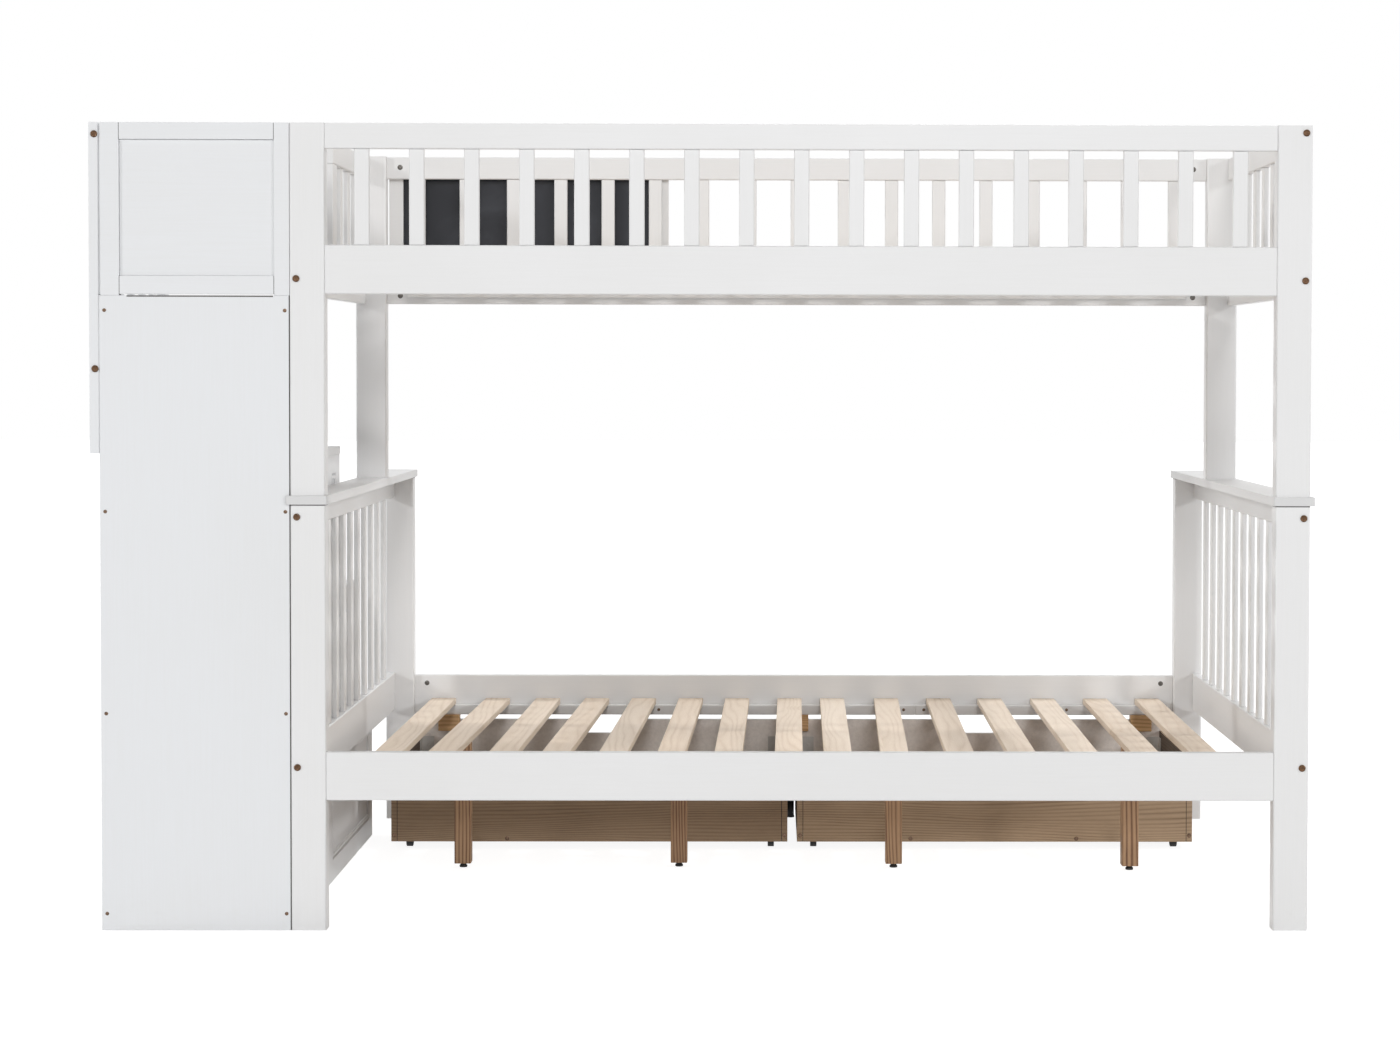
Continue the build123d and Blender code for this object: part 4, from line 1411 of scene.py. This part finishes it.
class BUNK_OT_stage(bpy.types.Operator):
    """Set up the floor, the lights, the backdrop and the camera"""

    bl_idname = "bunk.stage"
    bl_label = "Stage"

    def execute(self, context):
        stage = settings().stage
        self.floor()
        self.sky(stage.sky)
        for name, place, softness, strength in LAMPS:
            self.lamp(name, place, softness, getattr(stage, strength))
        self.camera(stage)
        context.scene.view_settings.view_transform = "Standard"
        return {"FINISHED"}

    def floor(self):
        """A wide white floor that keeps the bed's shadow."""
        select_nothing()
        bpy.ops.mesh.primitive_plane_add(size=80, location=(0, 0, 0))
        item = bpy.context.active_object
        item.name = "floor"
        material = bpy.data.materials.new("floor_white")
        material.use_nodes = True
        tree = material.node_tree
        shader = tree.nodes["Principled BSDF"]
        shader.inputs["Roughness"].default_value = 0.9
        shader.inputs["Specular IOR Level"].default_value = 0.1
        seen = self.seen(tree)
        shown = blend_colours(tree, seen, (0.8, 0.8, 0.8, 1), (0.3, 0.3, 0.3, 1))
        feed(tree, shader.inputs["Base Color"], shown)
        shader.inputs["Emission Color"].default_value = (1, 1, 1, 1)
        feed(tree, shader.inputs["Emission Strength"], times(tree, seen, 0.9))
        item.data.materials.append(material)

    def seen(self, tree):
        """1 for what the camera sees straight, mirrored or through glass."""
        path = add(tree, "LightPath").outputs
        seen = arithmetic(tree, "MAXIMUM", path["Is Camera Ray"], path["Is Glossy Ray"])
        return arithmetic(tree, "MAXIMUM", seen, path["Is Transmission Ray"])

    def sky(self, strength):
        """Even light from all round, and a white background where the camera sees past the floor."""
        world = bpy.context.scene.world or bpy.data.worlds.new("sky")
        bpy.context.scene.world = world
        world.use_nodes = True
        tree = world.node_tree
        back = tree.nodes["Background"]
        back.inputs["Color"].default_value = (1, 1, 1, 1)
        seen = self.seen(tree)
        feed(tree, back.inputs["Strength"], remap(tree, seen, 0.0, 1.0, strength, 1.0))

    def lamp(self, name, place, softness, strength):
        """A distant lamp that shines from a place towards the bed, softened by an angle in degrees."""
        light = bpy.data.lights.new(name, "SUN")
        light.angle = math.radians(softness)
        light.energy = strength
        item = bpy.data.objects.new(name, light)
        bpy.context.scene.collection.objects.link(item)
        item.location = place
        item.rotation_euler = (-Vector(place)).to_track_quat("-Z", "Y").to_euler()

    def camera(self, stage):
        """The camera, placed from the bed's lower corner at the stair end of its wall side."""
        corner = low("lower_post_wall_left")
        data = bpy.data.cameras.new("camera")
        data.sensor_width = CAMERA_SENSOR
        data.lens = stage.lens
        data.shift_x, data.shift_y = CAMERA_SHIFT
        item = bpy.data.objects.new("camera", data)
        bpy.context.scene.collection.objects.link(item)
        turn = Matrix.Rotation(CAMERA_TURN, 4, "Z")
        tilt = Matrix.Rotation(math.pi / 2 - stage.camera_down, 4, "X")
        roll = Matrix.Rotation(CAMERA_ROLL, 4, "Z")
        place = Vector((corner.x + stage.camera_along, corner.y - stage.camera_distance, stage.camera_height))
        item.matrix_world = Matrix.Translation(place) @ turn @ tilt @ roll
        bpy.context.scene.camera = item


class BUNK_PT_panel(bpy.types.Panel):
    """Lists the steps that dress the bed"""

    bl_idname = "BUNK_PT_panel"
    bl_label = "Bunk Bed"
    bl_space_type = "VIEW_3D"
    bl_region_type = "UI"
    bl_category = "Bunk Bed"

    def draw(self, context):
        for step in STEPS:
            self.layout.operator(step.bl_idname)


STEPS = (
    BUNK_OT_painted_frame,
    BUNK_OT_bare_timber,
    BUNK_OT_turned_slats,
    BUNK_OT_dark_fittings,
    BUNK_OT_frame_bolts,
    BUNK_OT_cross_nuts,
    BUNK_OT_panel_screws,
    BUNK_OT_pocket_beads,
    BUNK_OT_guard_filler,
    BUNK_OT_corner_brackets,
    BUNK_OT_levelling_feet,
    BUNK_OT_drawer_wheels,
    BUNK_OT_stage,
)
CLASSES = (
    BunkPaintSettings,
    BunkTimberSettings,
    BunkFittingSettings,
    BunkStageSettings,
    BunkSettings,
    *STEPS,
    BUNK_PT_panel,
)


def register():
    """Add the settings, the steps and the panel."""
    for item in CLASSES:
        bpy.utils.register_class(item)
    bpy.types.Scene.bunk_bed = PointerProperty(type=BunkSettings)


def unregister():
    """Remove the panel, the steps and the settings."""
    del bpy.types.Scene.bunk_bed
    for item in reversed(CLASSES):
        bpy.utils.unregister_class(item)


def main():
    """Dress the bed step by step."""
    register()
    bpy.ops.bunk.painted_frame()
    bpy.ops.bunk.bare_timber()
    bpy.ops.bunk.turned_slats()
    bpy.ops.bunk.dark_fittings()
    bpy.ops.bunk.frame_bolts()
    bpy.ops.bunk.cross_nuts()
    bpy.ops.bunk.panel_screws()
    bpy.ops.bunk.pocket_beads()
    bpy.ops.bunk.guard_filler()
    bpy.ops.bunk.corner_brackets()
    bpy.ops.bunk.levelling_feet()
    bpy.ops.bunk.drawer_wheels()
    bpy.ops.bunk.stage()


if __name__ == "__main__":
    main()
